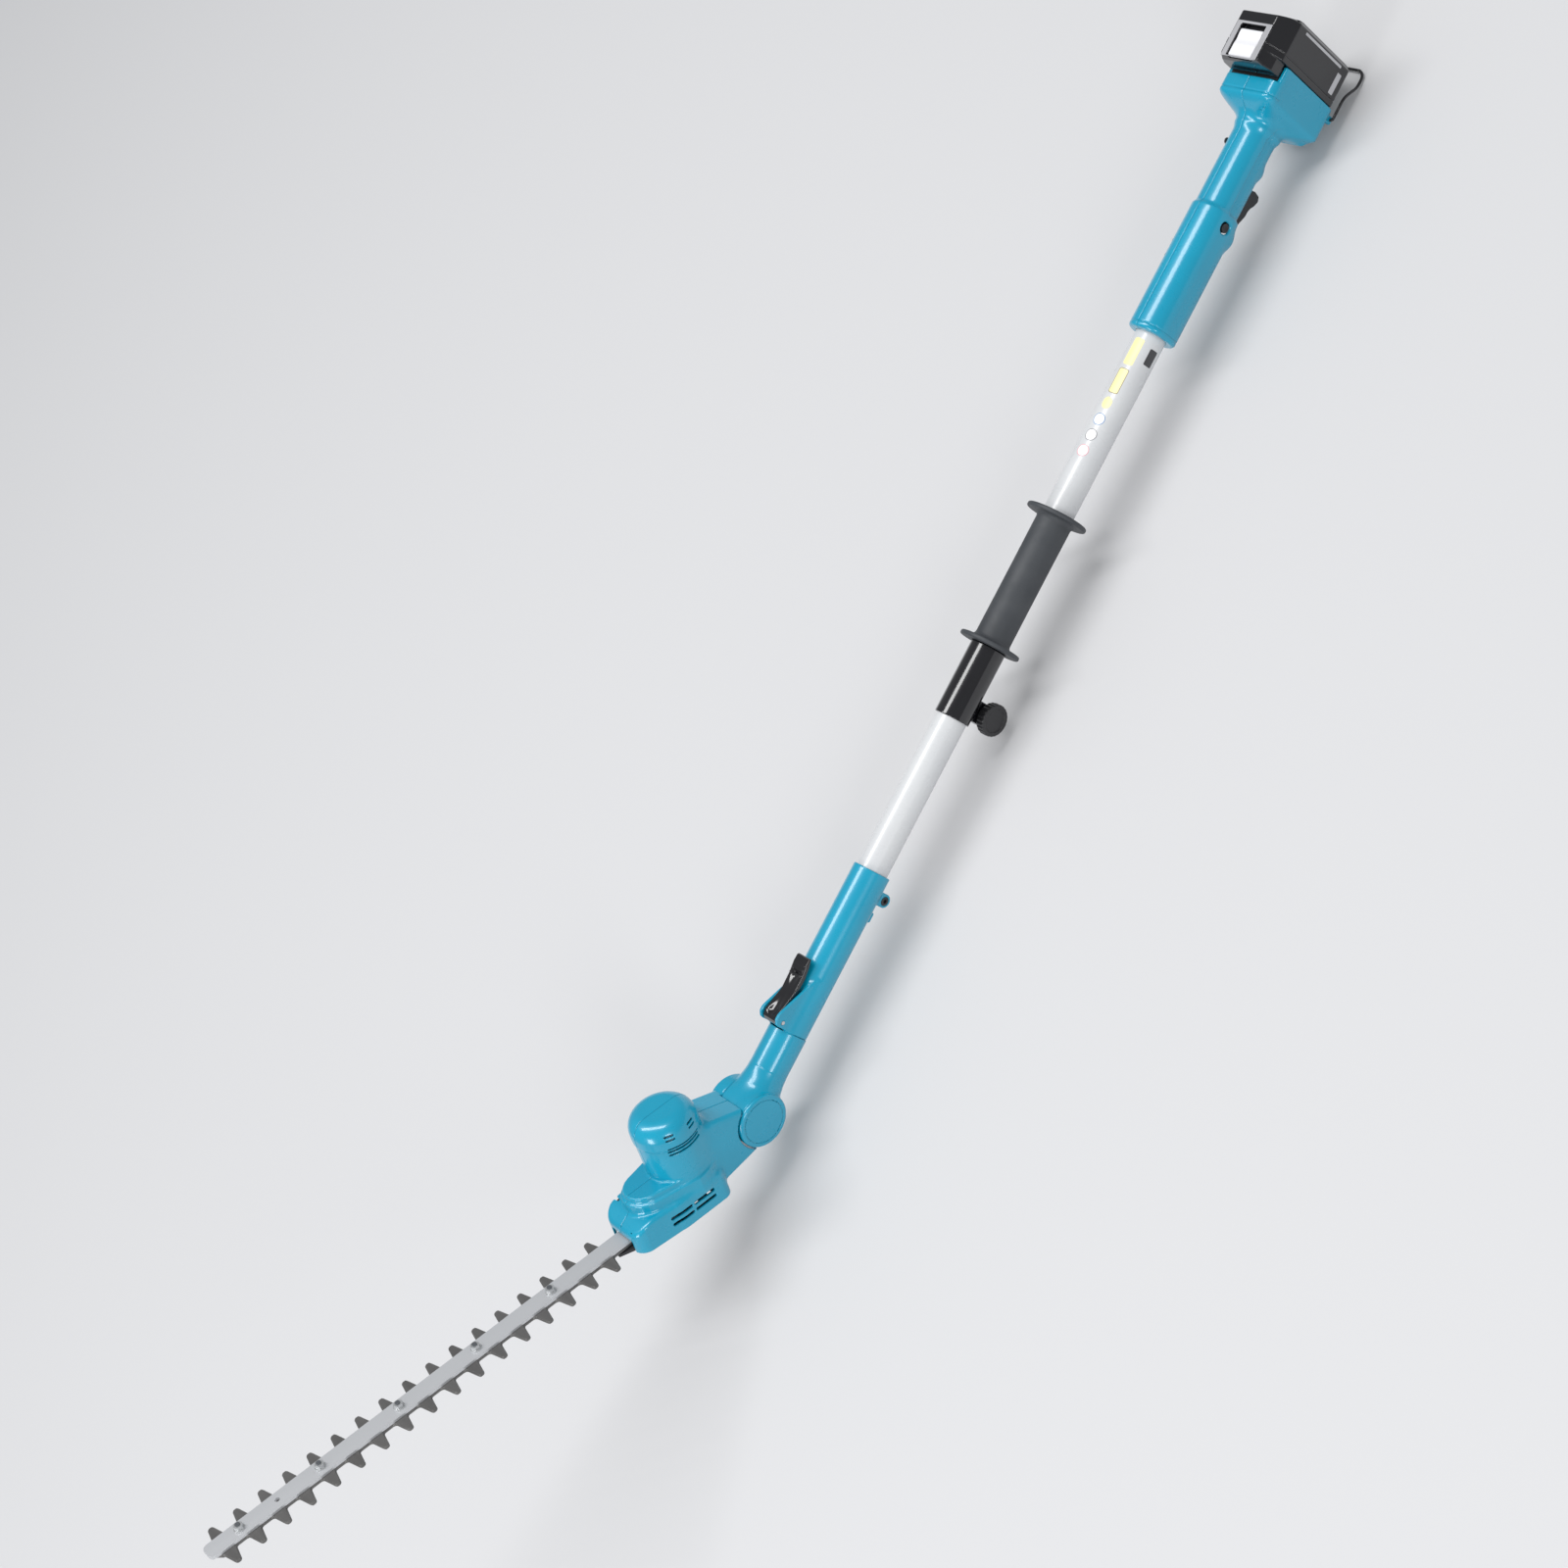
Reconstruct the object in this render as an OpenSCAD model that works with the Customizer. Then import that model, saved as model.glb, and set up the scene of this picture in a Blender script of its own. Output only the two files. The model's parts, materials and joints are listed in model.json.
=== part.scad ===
// Cordless pole hedge trimmer, in millimetres.
// +X runs along the pole from the battery to the blade, +Z is away from the trigger, +Y is the tool's left.
// The origin is on the pole's axis, in the middle of the bare tube in front of the grip, where a
// hanger or a rack clip takes hold. The head is drawn tilted up, as it rests.

/* [Pole] */
// Outside diameter of the pole
pole_d = 32; // [28:0.5:40]
// Wall of the pole
pole_wall = 1.6; // [1.2:0.1:2.6]
// Bare tube between the grip's clamp and the lower sleeve
bare_front = 166; // [120:1:300]
// Bare tube between the rear handle and the front grip
bare_rear = 195; // [120:1:400]

/* [Front grip] */
// Wall of the clamp sleeve where it shows
sleeve_wall = 2.05; // [1.8:0.05:4]
// Thickness of the rubber on the grip
rubber_t = 1.2; // [0.8:0.1:3]
// Distance between the two hand stops
grip_len = 140; // [110:1:200]
// Diameter of the hand stops
stop_d = 63; // [52:1:80]
// Thickness of a hand stop at its rim
stop_t = 5; // [3:0.5:8]
// Clamp sleeve that stands out in front of the grip
clamp_len = 80; // [66:1:120]
// Diameter of the clamp knob
knob_d = 33; // [26:1:40]

/* [Rear handle] */
// Handle from its mouth to the step
front_len = 134; // [120:1:200]
// Handle from the step to the battery foot
rear_len = 96; // [90:1:140]
// Width of the front part
front_w = 45; // [42:0.5:56]
// Height of the front part
front_h = 52; // [48:0.5:64]
// Width of the rear part
rear_w = 39; // [34:0.5:42]
// Height of the rear part
rear_h = 45; // [40:0.5:48]
// Wall of the moulded shells
shell_t = 2.6; // [2:0.1:3.2]

/* [Battery and foot] */
// Width of the battery
battery_w = 73; // [68:0.5:84]
// Length of the battery's full-width part
battery_l = 94; // [88:1:120]
// Length of the battery's tapered nose
nose_l = 16; // [12:1:24]
// Height of the battery above the foot's rim
battery_h = 45; // [44:1:80]
// Depth of the foot along the pole
foot_d = 36; // [34:1:50]
// Height of the foot across the pole
foot_h = 91; // [88:1:110]

/* [Lower sleeve and neck] */
// Wall of the lower sleeve
joint_wall = 3.1; // [2.6:0.1:5]
// Length of the lower sleeve
sleeve_len = 175; // [160:1:240]
// Neck from its seam to the hinge
neck_len = 86.5; // [78:0.5:140]
// Wall of the neck
neck_wall = 3.6; // [3:0.1:6]
// Diameter of the hinge hub
hub_d = 55; // [52:0.5:66]
// Width of the hinge hub
hub_w = 56; // [54:0.5:66]

/* [Cutting head] */
// Tilt of the head as it rests
head_tilt = 35; // [20:1:45]
// Hinge to the motor's axis
motor_x = 86; // [84:1:110]
// Diameter of the motor housing
barrel_d = 68; // [66:1:84]
// Top of the motor housing above the hinge
dome_top = 70; // [68:1:90]
// Width of the gear housing
base_w = 68; // [66:1:84]
// Motor's axis to the front of the gear housing
nose_len = 82; // [78:1:110]

/* [Blade] */
// Distance between teeth
tooth_pitch = 27; // [24:1:33]
// Number of teeth on each side
tooth_count = 17; // [8:1:20]
// Centre line to a tooth's tip
tooth_reach = 28.5; // [24:0.5:36]
// Width of the guide bar
bar_w = 20; // [18:0.5:26]
// Thickness of the guide bar
bar_t = 3; // [2.5:0.1:4]
// Thickness of a cutting blade
blade_t = 2; // [1.6:0.1:2.6]
// Travel of each blade from end to end
stroke = 10; // [8:0.5:12]
// Number of guide screws
screw_count = 5; // [3:1:6]

/* [Hidden] */

$fn = 64;
hull_fn = 32;      // roundness inside a hull
eps = 0.01;        // overshoot of a cut
fit = 0.05;        // running or seating clearance on a radius
gap = 0.4;         // clearance between moving faces
over = 1;          // longer overshoot of a cut

// stations along the pole
clamp_end = -bare_front / 2;
stop_front = clamp_end - clamp_len;
stop_rear = stop_front - grip_len;
mouth_x = stop_rear - stop_t / 2 - bare_rear;
step_x = mouth_x - front_len;
foot_x = step_x - rear_len;
flare_x = foot_x - 12;
rim_x = flare_x - foot_d;
pack_x = rim_x - battery_h;
pack_end = rim_x - 0.3;              // the battery's case stops just short of the foot
sleeve_x = bare_front / 2;
seam_x = sleeve_x + sleeve_len;
hub_x = seam_x + neck_len;

// pole and what fits on it
pole_r = pole_d / 2;
bore_r = pole_r + fit;
core_r = bore_r + 1.05;              // clamp sleeve under the rubber
sleeve_r = bore_r + sleeve_wall;
grip_r = core_r + rubber_t;
socket_len = 60;                     // pole held in the handle
seat_len = 130;                      // pole held in the lower sleeve

// blocks of the battery and its foot
foot_w = battery_w - 1;
foot_low = -foot_h / 2 - 1;          // trigger side of the foot
foot_high = foot_low + foot_h;
foot_round = 10;
pack_low = foot_low + 8;
pack_high = pack_low + battery_l + nose_l;
nose_w = 50;
floor_x = rim_x + 15;                // floor of the battery seat
lid_half = foot_w / 2 - 5;           // battery rail, half width
button_low = rim_x - 18;             // release button of the battery
button_top = rim_x + 11;
button_half = 15;
lip = 3.4;                           // foot's lip over the rail

// hinge
hub_r = hub_d / 2;
split_y = 12;                        // hub face between neck and head, on the right-hand side
hub_half = hub_w / 2;
neck_r = bore_r + neck_wall;
drum_r = 14;
disc_r = 22;
detents = 24;
joint_r = bore_r + joint_wall;

// head, measured from the hinge along the blade (x) and across it (z)
barrel_r = barrel_d / 2;
nose_x = motor_x + nose_len;
base_low = -44;
base_high = -12;
plinth_high = 5;
bar_top = -33;
bar_low = bar_top - bar_t;
slide_gap = 0.1;
upper_low = bar_low - slide_gap - blade_t;
lower_low = upper_low - slide_gap - blade_t;
gear_module = 0.8;
pinion_teeth = 10;
gear_teeth = 50;
crank_x = motor_x + gear_module * (pinion_teeth + gear_teeth) / 2;
throw = stroke / 2;
cam_r = 6.5;
case_low = -31;
case_high = -10;
first_tooth = nose_x + 27;
last_tooth = first_tooth + (tooth_count - 1) * tooth_pitch;
bar_end = last_tooth + 18;
screw_last = last_tooth - 18;
screw_step = (screw_last - first_tooth - 60) / (screw_count - 1);
screw_xs = [for (i = [0 : screw_count - 1]) screw_last - i * screw_step];

teal = "#0087a5";

// ---- helpers ----
module xcyl(r, x0, x1) translate([x0, 0, 0]) rotate([0, 90, 0]) cylinder(r = r, h = x1 - x0);
module ycyl(r, y0, y1) translate([0, y0, 0]) rotate([-90, 0, 0]) cylinder(r = r, h = y1 - y0);
module zcyl(r, z0, z1) translate([0, 0, z0]) cylinder(r = r, h = z1 - z0);
module box(a, b) translate(a) cube(b - a);

// oval bar along X: two round sides and flats between
module oval(x0, x1, w, h) {
    for (s = [-1, 1]) translate([0, 0, s * (h - w) / 2]) xcyl(w / 2, x0, x1);
    box([x0, -w / 2, -(h - w) / 2], [x1, w / 2, (h - w) / 2]);
}

// block with its four long edges rounded, along X
module soft_block(x0, x1, w, z0, z1, r) {
    for (y = [-w / 2 + r, w / 2 - r], z = [z0 + r, z1 - r]) translate([0, y, z]) xcyl(r, x0, x1);
    box([x0, -w / 2 + r, z0], [x1, w / 2 - r, z1]);
    box([x0, -w / 2, z0 + r], [x1, w / 2, z1 - r]);
}

// plate in plan with rounded corners, between two heights
module plan_block(x0, x1, w, z0, z1, r) {
    for (x = [x0 + r, x1 - r], y = [-w / 2 + r, w / 2 - r]) translate([x, y, 0]) zcyl(r, z0, z1);
    box([x0 + r, -w / 2, z0], [x1 - r, w / 2, z1]);
    box([x0, -w / 2 + r, z0], [x1, w / 2 - r, z1]);
}

// wire or lead: a ring of points round each point of its route
function unit(v) = v / norm(v);
function ring(p, t, r, n) = let (u = unit(cross(t, [0.2, 0.1, 0.97])), w = cross(t, u))
    [for (k = [0 : n - 1]) p + r * (cos(k * 360 / n) * u + sin(k * 360 / n) * w)];
module wire(route, r, n = 12) {
    last = len(route) - 1;
    rings = [for (i = [0 : last])
        ring(route[i], unit(route[min(i + 1, last)] - route[max(i - 1, 0)]), r, n)];
    polyhedron([for (q = rings) each q], concat(
        [[for (k = [0 : n - 1]) k]],
        [for (i = [0 : last - 1], k = [0 : n - 1]) let (m = (k + 1) % n)
            [i * n + k, (i + 1) * n + k, (i + 1) * n + m, i * n + m]],
        [[for (k = [n - 1 : -1 : 0]) last * n + k]]));
}

module left_half(lo, hi) intersection() { children(); box([lo[0], 0, lo[2]], [hi[0], hi[1], hi[2]]); }
module right_half(lo, hi) intersection() { children(); box([lo[0], lo[1], lo[2]], [hi[0], 0, hi[2]]); }
module in_head() translate([hub_x, 0, 0]) rotate([0, -head_tilt, 0]) children();

// ---- pole ----
pole_back = mouth_x - socket_len;
pole_front = sleeve_x + seat_len;
module pole_tube() color("white") difference() {
    xcyl(pole_r, pole_back, pole_front);
    xcyl(pole_r - pole_wall, pole_back - over, pole_front + over);
}

// lead from the switch to the hinge, inside the handle, the pole and the neck
lead_r = 2.6;
lead_z = -7;
lead_route = [[step_x + 30, 0, 2], [step_x + 50, 0, 0], [pole_back - 8, 0, lead_z], [pole_back, 0, lead_z],
    [pole_front + 12, 0, lead_z], [hub_x - 40, 2, lead_z], [hub_x - 34, 4.5, lead_z + 0.6], [hub_x - 26.5, 12.2, -5],
    [hub_x - 18, 17, -3], [hub_x - 10, 18.4, -1], [hub_x - 3, 18.4, 0], [hub_x - 0.6, 17.4, 0], [hub_x, 15, 0]];
module power_lead() color("dimgray") wire(lead_route, lead_r);

// ---- front grip ----
module grip_rubber() color("#33373c") difference() {
    union() {
        xcyl(grip_r, stop_rear, stop_front);
        for (s = [[stop_rear, 1], [stop_front, -1]]) translate([s[0], 0, 0]) {
            xcyl(stop_d / 2, -stop_t / 2, stop_t / 2);
            // fillet from the hand stop to the grip
            rotate([0, s[1] * 90, 0]) translate([0, 0, stop_t / 2 - eps])
                cylinder(r1 = grip_r + 6, r2 = grip_r, h = 5);
        }
    }
    xcyl(core_r + fit, stop_rear - stop_t, stop_front + stop_t);
}

lug_x = clamp_end - 18;
lug_z = -(sleeve_r + knob_d / 2 + 1.5);
lug_half = 7;
clamp_bolt_r = 3;
module clamp_sleeve() color("#101113") difference() {
    union() {
        xcyl(core_r, stop_rear - stop_t / 2, stop_front + stop_t / 2);
        xcyl(sleeve_r, stop_front + stop_t / 2, clamp_end);
        // split lug for the clamp screw
        translate([lug_x, 0, lug_z]) ycyl(11, -lug_half, lug_half);
        box([lug_x - 11, -lug_half, lug_z], [lug_x + 11, lug_half, -sleeve_r + 3]);
    }
    xcyl(bore_r, stop_rear - stop_t, clamp_end + over);
    translate([lug_x, 0, lug_z]) ycyl(clamp_bolt_r + fit, -lug_half - over, lug_half + over);
    box([lug_x - 20, -1, lug_z - 20], [clamp_end + over, 1, 0]);
    // hexagon seat for the screw's head
    translate([lug_x, 0, lug_z]) rotate([90, 0, 0]) translate([0, 0, lug_half - 3])
        cylinder(r = 6, h = 5, $fn = 6);
}

knob_t = 12;
module clamp_screw() color("silver") translate([lug_x, 0, lug_z]) {
    ycyl(clamp_bolt_r, -lug_half + eps, lug_half + knob_t - 3);
    rotate([90, 0, 0]) translate([0, 0, lug_half - 2.9]) cylinder(r = 5.8, h = 2.9, $fn = 6);
}

flutes = 24;
module clamp_knob() color("#141416") translate([lug_x, 0, lug_z]) difference() {
    union() {
        ycyl(knob_d / 2, lug_half + 2, lug_half + knob_t);
        ycyl(7, lug_half + gap, lug_half + 2 + eps);
    }
    ycyl(clamp_bolt_r + fit, lug_half - over, lug_half + knob_t - 2.6);
    for (i = [0 : flutes - 1]) rotate([0, i * 360 / flutes, 0])
        translate([knob_d / 2 + 0.6, 0, 0]) ycyl(1.4, lug_half, lug_half + knob_t + over);
}

// ---- rear handle ----
trigger_x = step_x + 4;
trigger_z = -17;
trigger_half = 7.5;
button_x = step_x + 11;
button_r = 4.8;
hook_x = rim_x + 7;
hook_z = foot_low - 4;
hook_r = 1.5;
handle_lo = [rim_x - over, -60, -80];
handle_hi = [mouth_x + over, 60, 80];

module handle_outer() {
    oval(step_x, mouth_x, front_w, front_h);
    oval(foot_x - 3, step_x + eps, rear_w, rear_h);
    // raised panel along the top of the rear part
    intersection() {
        oval(foot_x - 3, step_x, rear_w + 2.4, rear_h + 2.4);
        box([foot_x - 4, -rear_w, 4], [step_x + over, rear_w, rear_h]);
    }
    // flare to the battery foot
    hull() {
        for (s = [-1, 1]) translate([0, 0, s * (rear_h - rear_w) / 2])
            xcyl(rear_w / 2, foot_x - 1, foot_x, $fn = hull_fn);
        soft_block(flare_x - 1, flare_x, foot_w - 4, foot_low + 1, foot_high - 1, foot_round);
    }
    soft_block(rim_x, flare_x - 1 + eps, foot_w, foot_low, foot_high, foot_round);
    // chin under the foot, on the trigger side
    soft_block(flare_x - 2, flare_x + 6, foot_w - 22, foot_low, foot_low + 24, 7);
    // lugs for the wire hook
    for (y = [-27, 27]) translate([hook_x, y, hook_z]) {
        ycyl(3.4, -3, 3);
        box([-3.4, -3, 0], [3.4, 3, 6]);
    }
    // belly in front of the trigger
    translate([step_x + 18, 0, -front_h / 2 + 7]) ycyl(9, -8, 8);
}

module handle_cavity() {
    xcyl(bore_r, pole_back - over, mouth_x + over);
    oval(step_x + 6, pole_back + eps, front_w - 2 * shell_t, front_h - 2 * shell_t);
    oval(foot_x - 8, step_x + 6 + eps, rear_w - 2 * shell_t, rear_h - 2 * shell_t);
    hull() {
        for (s = [-1, 1]) translate([0, 0, s * (rear_h - rear_w) / 2])
            xcyl(rear_w / 2 - shell_t, foot_x - 2, foot_x - 1, $fn = hull_fn);
        soft_block(flare_x - 4, flare_x - 3, foot_w - 12, foot_low + 6, foot_high - 6, 6);
    }
    soft_block(floor_x + 3, flare_x - 3 + eps, foot_w - 12, foot_low + 6, foot_high - 6, 6);
    // way for the contacts through the floor
    box([floor_x - over, -18, foot_low + 10], [floor_x + 3 + over, 18, foot_low + 30]);
    // seat of the battery, open at the top, with a lip over each rail
    box([rim_x - over, -lid_half + lip, foot_low + 5], [floor_x, lid_half - lip, foot_high + over]);
    box([rim_x + lip, -lid_half, foot_low + 5], [floor_x, lid_half, foot_high + over]);
    // room for the battery's deep nose
    box([rim_x - over, -foot_w, pack_high - nose_l - 16 - gap], [floor_x, foot_w, foot_high + over]);
    // opening for the trigger
    box([trigger_x - 49, -trigger_half - 0.8, -60], [trigger_x + 7, trigger_half + 0.8, trigger_z + 1]);
    translate([trigger_x, 0, trigger_z]) ycyl(2 + fit, -12.2, 12.2);
    // bore of the lock-off button and the dish round it
    translate([button_x, 0, 0]) {
        ycyl(button_r + fit, 0, front_w);
        translate([0, front_w / 2 - 1.6, 0]) rotate([-90, 0, 0])
            cylinder(r1 = button_r + 1, r2 = button_r + 3.4, h = 2);
    }
    // holes of the wire hook
    translate([hook_x, 0, hook_z]) for (s = [-1, 1]) ycyl(hook_r + fit, s * 27 - 4, s * 27 + 4);
    for (x = handle_screw_xs) translate([x, 0, handle_screw_z]) {
        ycyl(1.7, -60, 60);
        ycyl(3.4, -60, -front_w / 2 + 8);
    }
}

handle_screw_xs = [mouth_x - 78, step_x + 40, step_x - 70];
handle_screw_z = 15;
module handle_posts() difference() {
    intersection() {
        handle_outer();
        for (x = handle_screw_xs) translate([x, 0, handle_screw_z]) ycyl(4.4, -60, 60);
    }
    for (x = handle_screw_xs) translate([x, 0, handle_screw_z]) {
        ycyl(1.7, -60, 60);
        ycyl(3.4, -60, -front_w / 2 + 8);
    }
}

module handle_left() color(teal) left_half(handle_lo, handle_hi) {
    difference() { handle_outer(); handle_cavity(); }
    handle_posts();
}
module handle_right() color(teal) right_half(handle_lo, handle_hi) {
    difference() { handle_outer(); handle_cavity(); }
    handle_posts();
}

module handle_screws() color("#3a3d40") for (x = handle_screw_xs) translate([x, 0, handle_screw_z]) {
    ycyl(1.65, -front_w / 2 + 7, front_w / 2 - 8);
    difference() {
        ycyl(3.2, -front_w / 2 + 5, -front_w / 2 + 7 + eps);
        rotate([90, 0, 0]) translate([0, 0, front_w / 2 - 6]) cylinder(r = 1.4, h = 3, $fn = 6);
    }
}

// contact carrier on the foot's floor, with three tongues that slide into the battery
tongue_ys = [-12, 0, 12];
module terminal_block() color("#202225") {
    box([floor_x + 0.2, -17.6, foot_low + 10.4], [floor_x + 9, 17.6, foot_low + 29.6]);
    for (y = tongue_ys) box([floor_x - 7, y - 0.4, foot_low + 12], [floor_x + 0.3, y + 0.4, foot_low + 28]);
}

module controller_board() color("#1f5a36") {
    box([floor_x + 12, -24, foot_low + 12], [floor_x + 13.6, 24, foot_high - 16]);
    for (y = [-14, 4]) box([floor_x + 9.4, y, 4], [floor_x + 12, y + 9, 14]);
}

module switch_body() color("#2a2c2f") {
    box([trigger_x - 40, -8, -5], [trigger_x - 4, 8, 10]);
    translate([trigger_x - 30, 0, 0]) zcyl(2.4, -7, -5 + eps);
}

module trigger() color("#141416") translate([trigger_x, 0, trigger_z]) difference() {
    rotate([90, 0, 0]) translate([0, 0, -trigger_half]) linear_extrude(height = 2 * trigger_half)
        polygon([[4, 2], [4, -5], [0, -8], [-40, -21.5], [-44.5, -19], [-46, -12], [-44, -3], [-40, -1],
            [-10, -1], [-6, 3], [0, 4.5]]);
    ycyl(2 + fit, -trigger_half - over, trigger_half + over);
    // finger groove
    translate([-24, 0, -26]) ycyl(11.4, -trigger_half + 2, trigger_half - 2);
}

module trigger_pin() color("silver") translate([trigger_x, 0, trigger_z]) ycyl(2, -12, 12);

// coil spring drawn as rings on a core
module rings(r, wire, count, pitch) for (i = [0 : count - 1]) translate([0, 0, i * pitch])
    rotate_extrude() translate([r, 0]) circle(r = wire, $fn = 16);

module trigger_spring() color("silver") translate([trigger_x - 12, 0, trigger_z + 0.5]) rings(2.6, 0.45, 7, 1.5);

button_t = 14;
module lock_button() color("#141416") translate([button_x, 0, 0]) difference() {
    union() {
        ycyl(button_r, front_w / 2 - button_t, front_w / 2 - 0.6);
        ycyl(button_r + 1.4, front_w / 2 - button_t, front_w / 2 - 10);
    }
    ycyl(button_r - 1.6, front_w / 2 - 1.1, front_w / 2);
}
module lock_button_spring() color("silver") translate([button_x, 3, 0]) rotate([-90, 0, 0])
    rings(3, 0.4, 4, 1.3);

hook_half = foot_w / 2 - 3;
hook_in = 9;
hook_side = [[0, 0, 0], [0, 6.4, 0], [-1, 8.2, 0], [-3.4, 9, 0], [-22, 9, 0], [-30, 8.4, -3], [-40, 7, -10],
    [-46, 6, -12.6], [-54, 4.6, -13.8], [-58.6, 2, -14], [-61, -2, -14], [-61.6, -7, -14]];
module hook() color("#15171a") translate([hook_x, 0, hook_z]) wire(concat(
    [for (p = hook_side) [p[0], p[1] + hook_half - hook_in, p[2]]],
    [for (i = [len(hook_side) - 1 : -1 : 0]) let (p = hook_side[i]) [p[0], hook_in - hook_half - p[1], p[2]]]), hook_r);

// ---- battery ----
module pack_outer() {
    hull() {
        soft_block(pack_x + 5, pack_end, battery_w, pack_low, pack_high - nose_l - 2, 4, $fn = hull_fn);
        soft_block(pack_x, pack_end, battery_w - 10, pack_low + 5, pack_high - nose_l - 8, 3, $fn = hull_fn);
        box([pack_x + 9, -nose_w / 2, pack_high - 2], [rim_x - 6, nose_w / 2, pack_high]);
    }
    // deep nose that closes over the foot's upper edge
    hull() {
        box([rim_x - 8, -battery_w / 2 + 5, pack_high - nose_l - 16],
            [floor_x - 2, battery_w / 2 - 5, pack_high - nose_l - 2]);
        box([rim_x - 8, -nose_w / 2, pack_high - 2], [floor_x - 3, nose_w / 2, pack_high - 1]);
    }
}
module battery_case() color("#0d0d0f") difference() {
    pack_outer();
    box([pack_x + 3, -cell_half - 0.3, pack_low + 2.5], [rim_x - 3, cell_half + 0.3, pack_high - nose_l + 1]);
    // pocket of the release button
    box([button_low - 4.5, -button_half - 1, pack_high - 7], [button_top + 0.5, button_half + 1, pack_high + over]);
    // slot for the button's shank
    box([rim_x - 17, -8, pack_high - nose_l], [rim_x - 7, 8, pack_high - 7 + eps]);
    // room for the lid under the case
    box([pack_end, -lid_half, pack_low - over], [floor_x, lid_half, pack_high - nose_l - 16 + eps]);
}
module battery_lid() color("#17181b") difference() {
    union() {
        box([pack_end, -lid_half + lip + gap, pack_low + 1], [floor_x - gap, lid_half - lip - gap, pack_high - nose_l - 16.2]);
        box([rim_x + lip + gap, -lid_half + gap, pack_low + 1], [floor_x - gap, lid_half - gap, pack_high - nose_l - 16.2]);
    }
    // slots for the contact tongues, open towards the trigger side
    for (y = tongue_ys) box([floor_x - 8, y - 1, pack_low], [floor_x, y + 1, foot_low + 30]);
}
module battery_button() color("#d9dadd") {
    box([button_low, -button_half, pack_high - 6.6], [button_top, button_half, pack_high - 1]);
    box([rim_x - 12, -7, pack_high - 11.6], [rim_x - 8, 7, pack_high - 6.6 + eps]);
}
cell_r = 9.1;
cell_half = 32.5;
module battery_cells() color("#2d6ea8") for (i = [0 : 4], j = [0 : 1])
    translate([pack_x + 3.4 + cell_r + j * 19, 0, pack_low + 12 + i * 18.3])
        ycyl(cell_r, -cell_half, cell_half);

// ---- lower sleeve and latch ----
boss_x = sleeve_x + 21;
boss_z = -(joint_r + 7);
pin_x = seam_x - 6;
pin_z = 25;
cheek_in = 10.5;
cheek_out = 14;
module lower_sleeve() color(teal) difference() {
    union() {
        xcyl(joint_r, sleeve_x, seam_x);
        // cheeks that hold the lever's pin
        for (s = [-1, 1]) translate([0, s > 0 ? cheek_out : -cheek_in, 0]) rotate([90, 0, 0])
            linear_extrude(height = cheek_out - cheek_in) union() {
                polygon([[seam_x - 54, 12], [seam_x - 11, 35], [seam_x - 5, 35], [seam_x, 30], [seam_x, 8]]);
            }
        // split boss for the pinch bolt
        translate([boss_x, 0, boss_z]) ycyl(7, -9, 9);
        box([boss_x - 7, -9, boss_z], [boss_x + 7, 9, -joint_r + 4]);
        // strap lug
        box([boss_x + 15, -5, -joint_r - 7], [boss_x + 26, 5, -joint_r + 3]);
    }
    xcyl(bore_r, sleeve_x - over, seam_x + over);
    translate([boss_x, 0, boss_z]) {
        ycyl(2.5 + fit, -10, 10);
        ycyl(4.6, 6, 10);
        rotate([90, 0, 0]) translate([0, 0, 5.6]) cylinder(r = 4.9, h = 5, $fn = 6);
    }
    box([sleeve_x - over, -1, boss_z - 10], [boss_x + 9, 1, 0]);
    // window under the lever
    box([seam_x - 28, -cheek_in, 6], [seam_x - 2, cheek_in, 40]);
    box([seam_x - 56, -cheek_in, joint_r], [seam_x - 27, cheek_in, 40]);
    translate([pin_x, 0, pin_z]) ycyl(2 + fit, -20, 20);
}
module pinch_bolt() color("#55585c") translate([boss_x, 0, boss_z]) difference() {
    union() {
        ycyl(2.5, -8.5, 6.5);
        ycyl(4.4, 6.1, 9);
    }
    rotate([-90, 0, 0]) translate([0, 0, 7]) cylinder(r = 2.3, h = 3, $fn = 6);
}
module pinch_nut() color("silver") translate([boss_x, 0, boss_z]) difference() {
    rotate([90, 0, 0]) translate([0, 0, 5.7]) cylinder(r = 4.7, h = 3, $fn = 6);
    ycyl(2.5 + fit, -10, 0);
}

lever_half = 10;
module latch_lever() color("#111215") difference() {
    translate([pin_x, 0, pin_z]) rotate([90, 0, 0]) translate([0, 0, -lever_half])
        linear_extrude(height = 2 * lever_half)
            polygon([[4.5, 3], [2, 6.5], [-4, 8], [-16, 4.5], [-30, 1], [-46, 1.6], [-58, 3.6], [-66, 3.4],
                [-67, 1.6], [-58, -1.2], [-46, -3.4], [-30, -3.6], [-14, -4], [-4, -4.5], [-3.6, -13],
                [0.6, -13], [1, -4.6], [4.5, -3]]);
    translate([pin_x, 0, pin_z]) {
        ycyl(2 + fit, -20, 20);
        // thumb ribs
        for (x = [-46, -51, -56]) translate([x, 0, 4.5]) ycyl(1.2, -lever_half + 2.5, lever_half - 2.5);
        // scooped back
        for (x = [-14, -22, -30]) translate([x, 0, 12.6]) ycyl(9, -lever_half + 2, lever_half - 2);
    }
}
module lever_pin() color("silver") translate([pin_x, 0, pin_z]) ycyl(2, -cheek_out, cheek_out);
module lock_spring() color("silver") translate([seam_x + 7, (rod_y0 + rod_y1) / 2, 0])
    rotate([0, 90, 0]) rings(4.15, 0.5, 8, 2.2);

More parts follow.
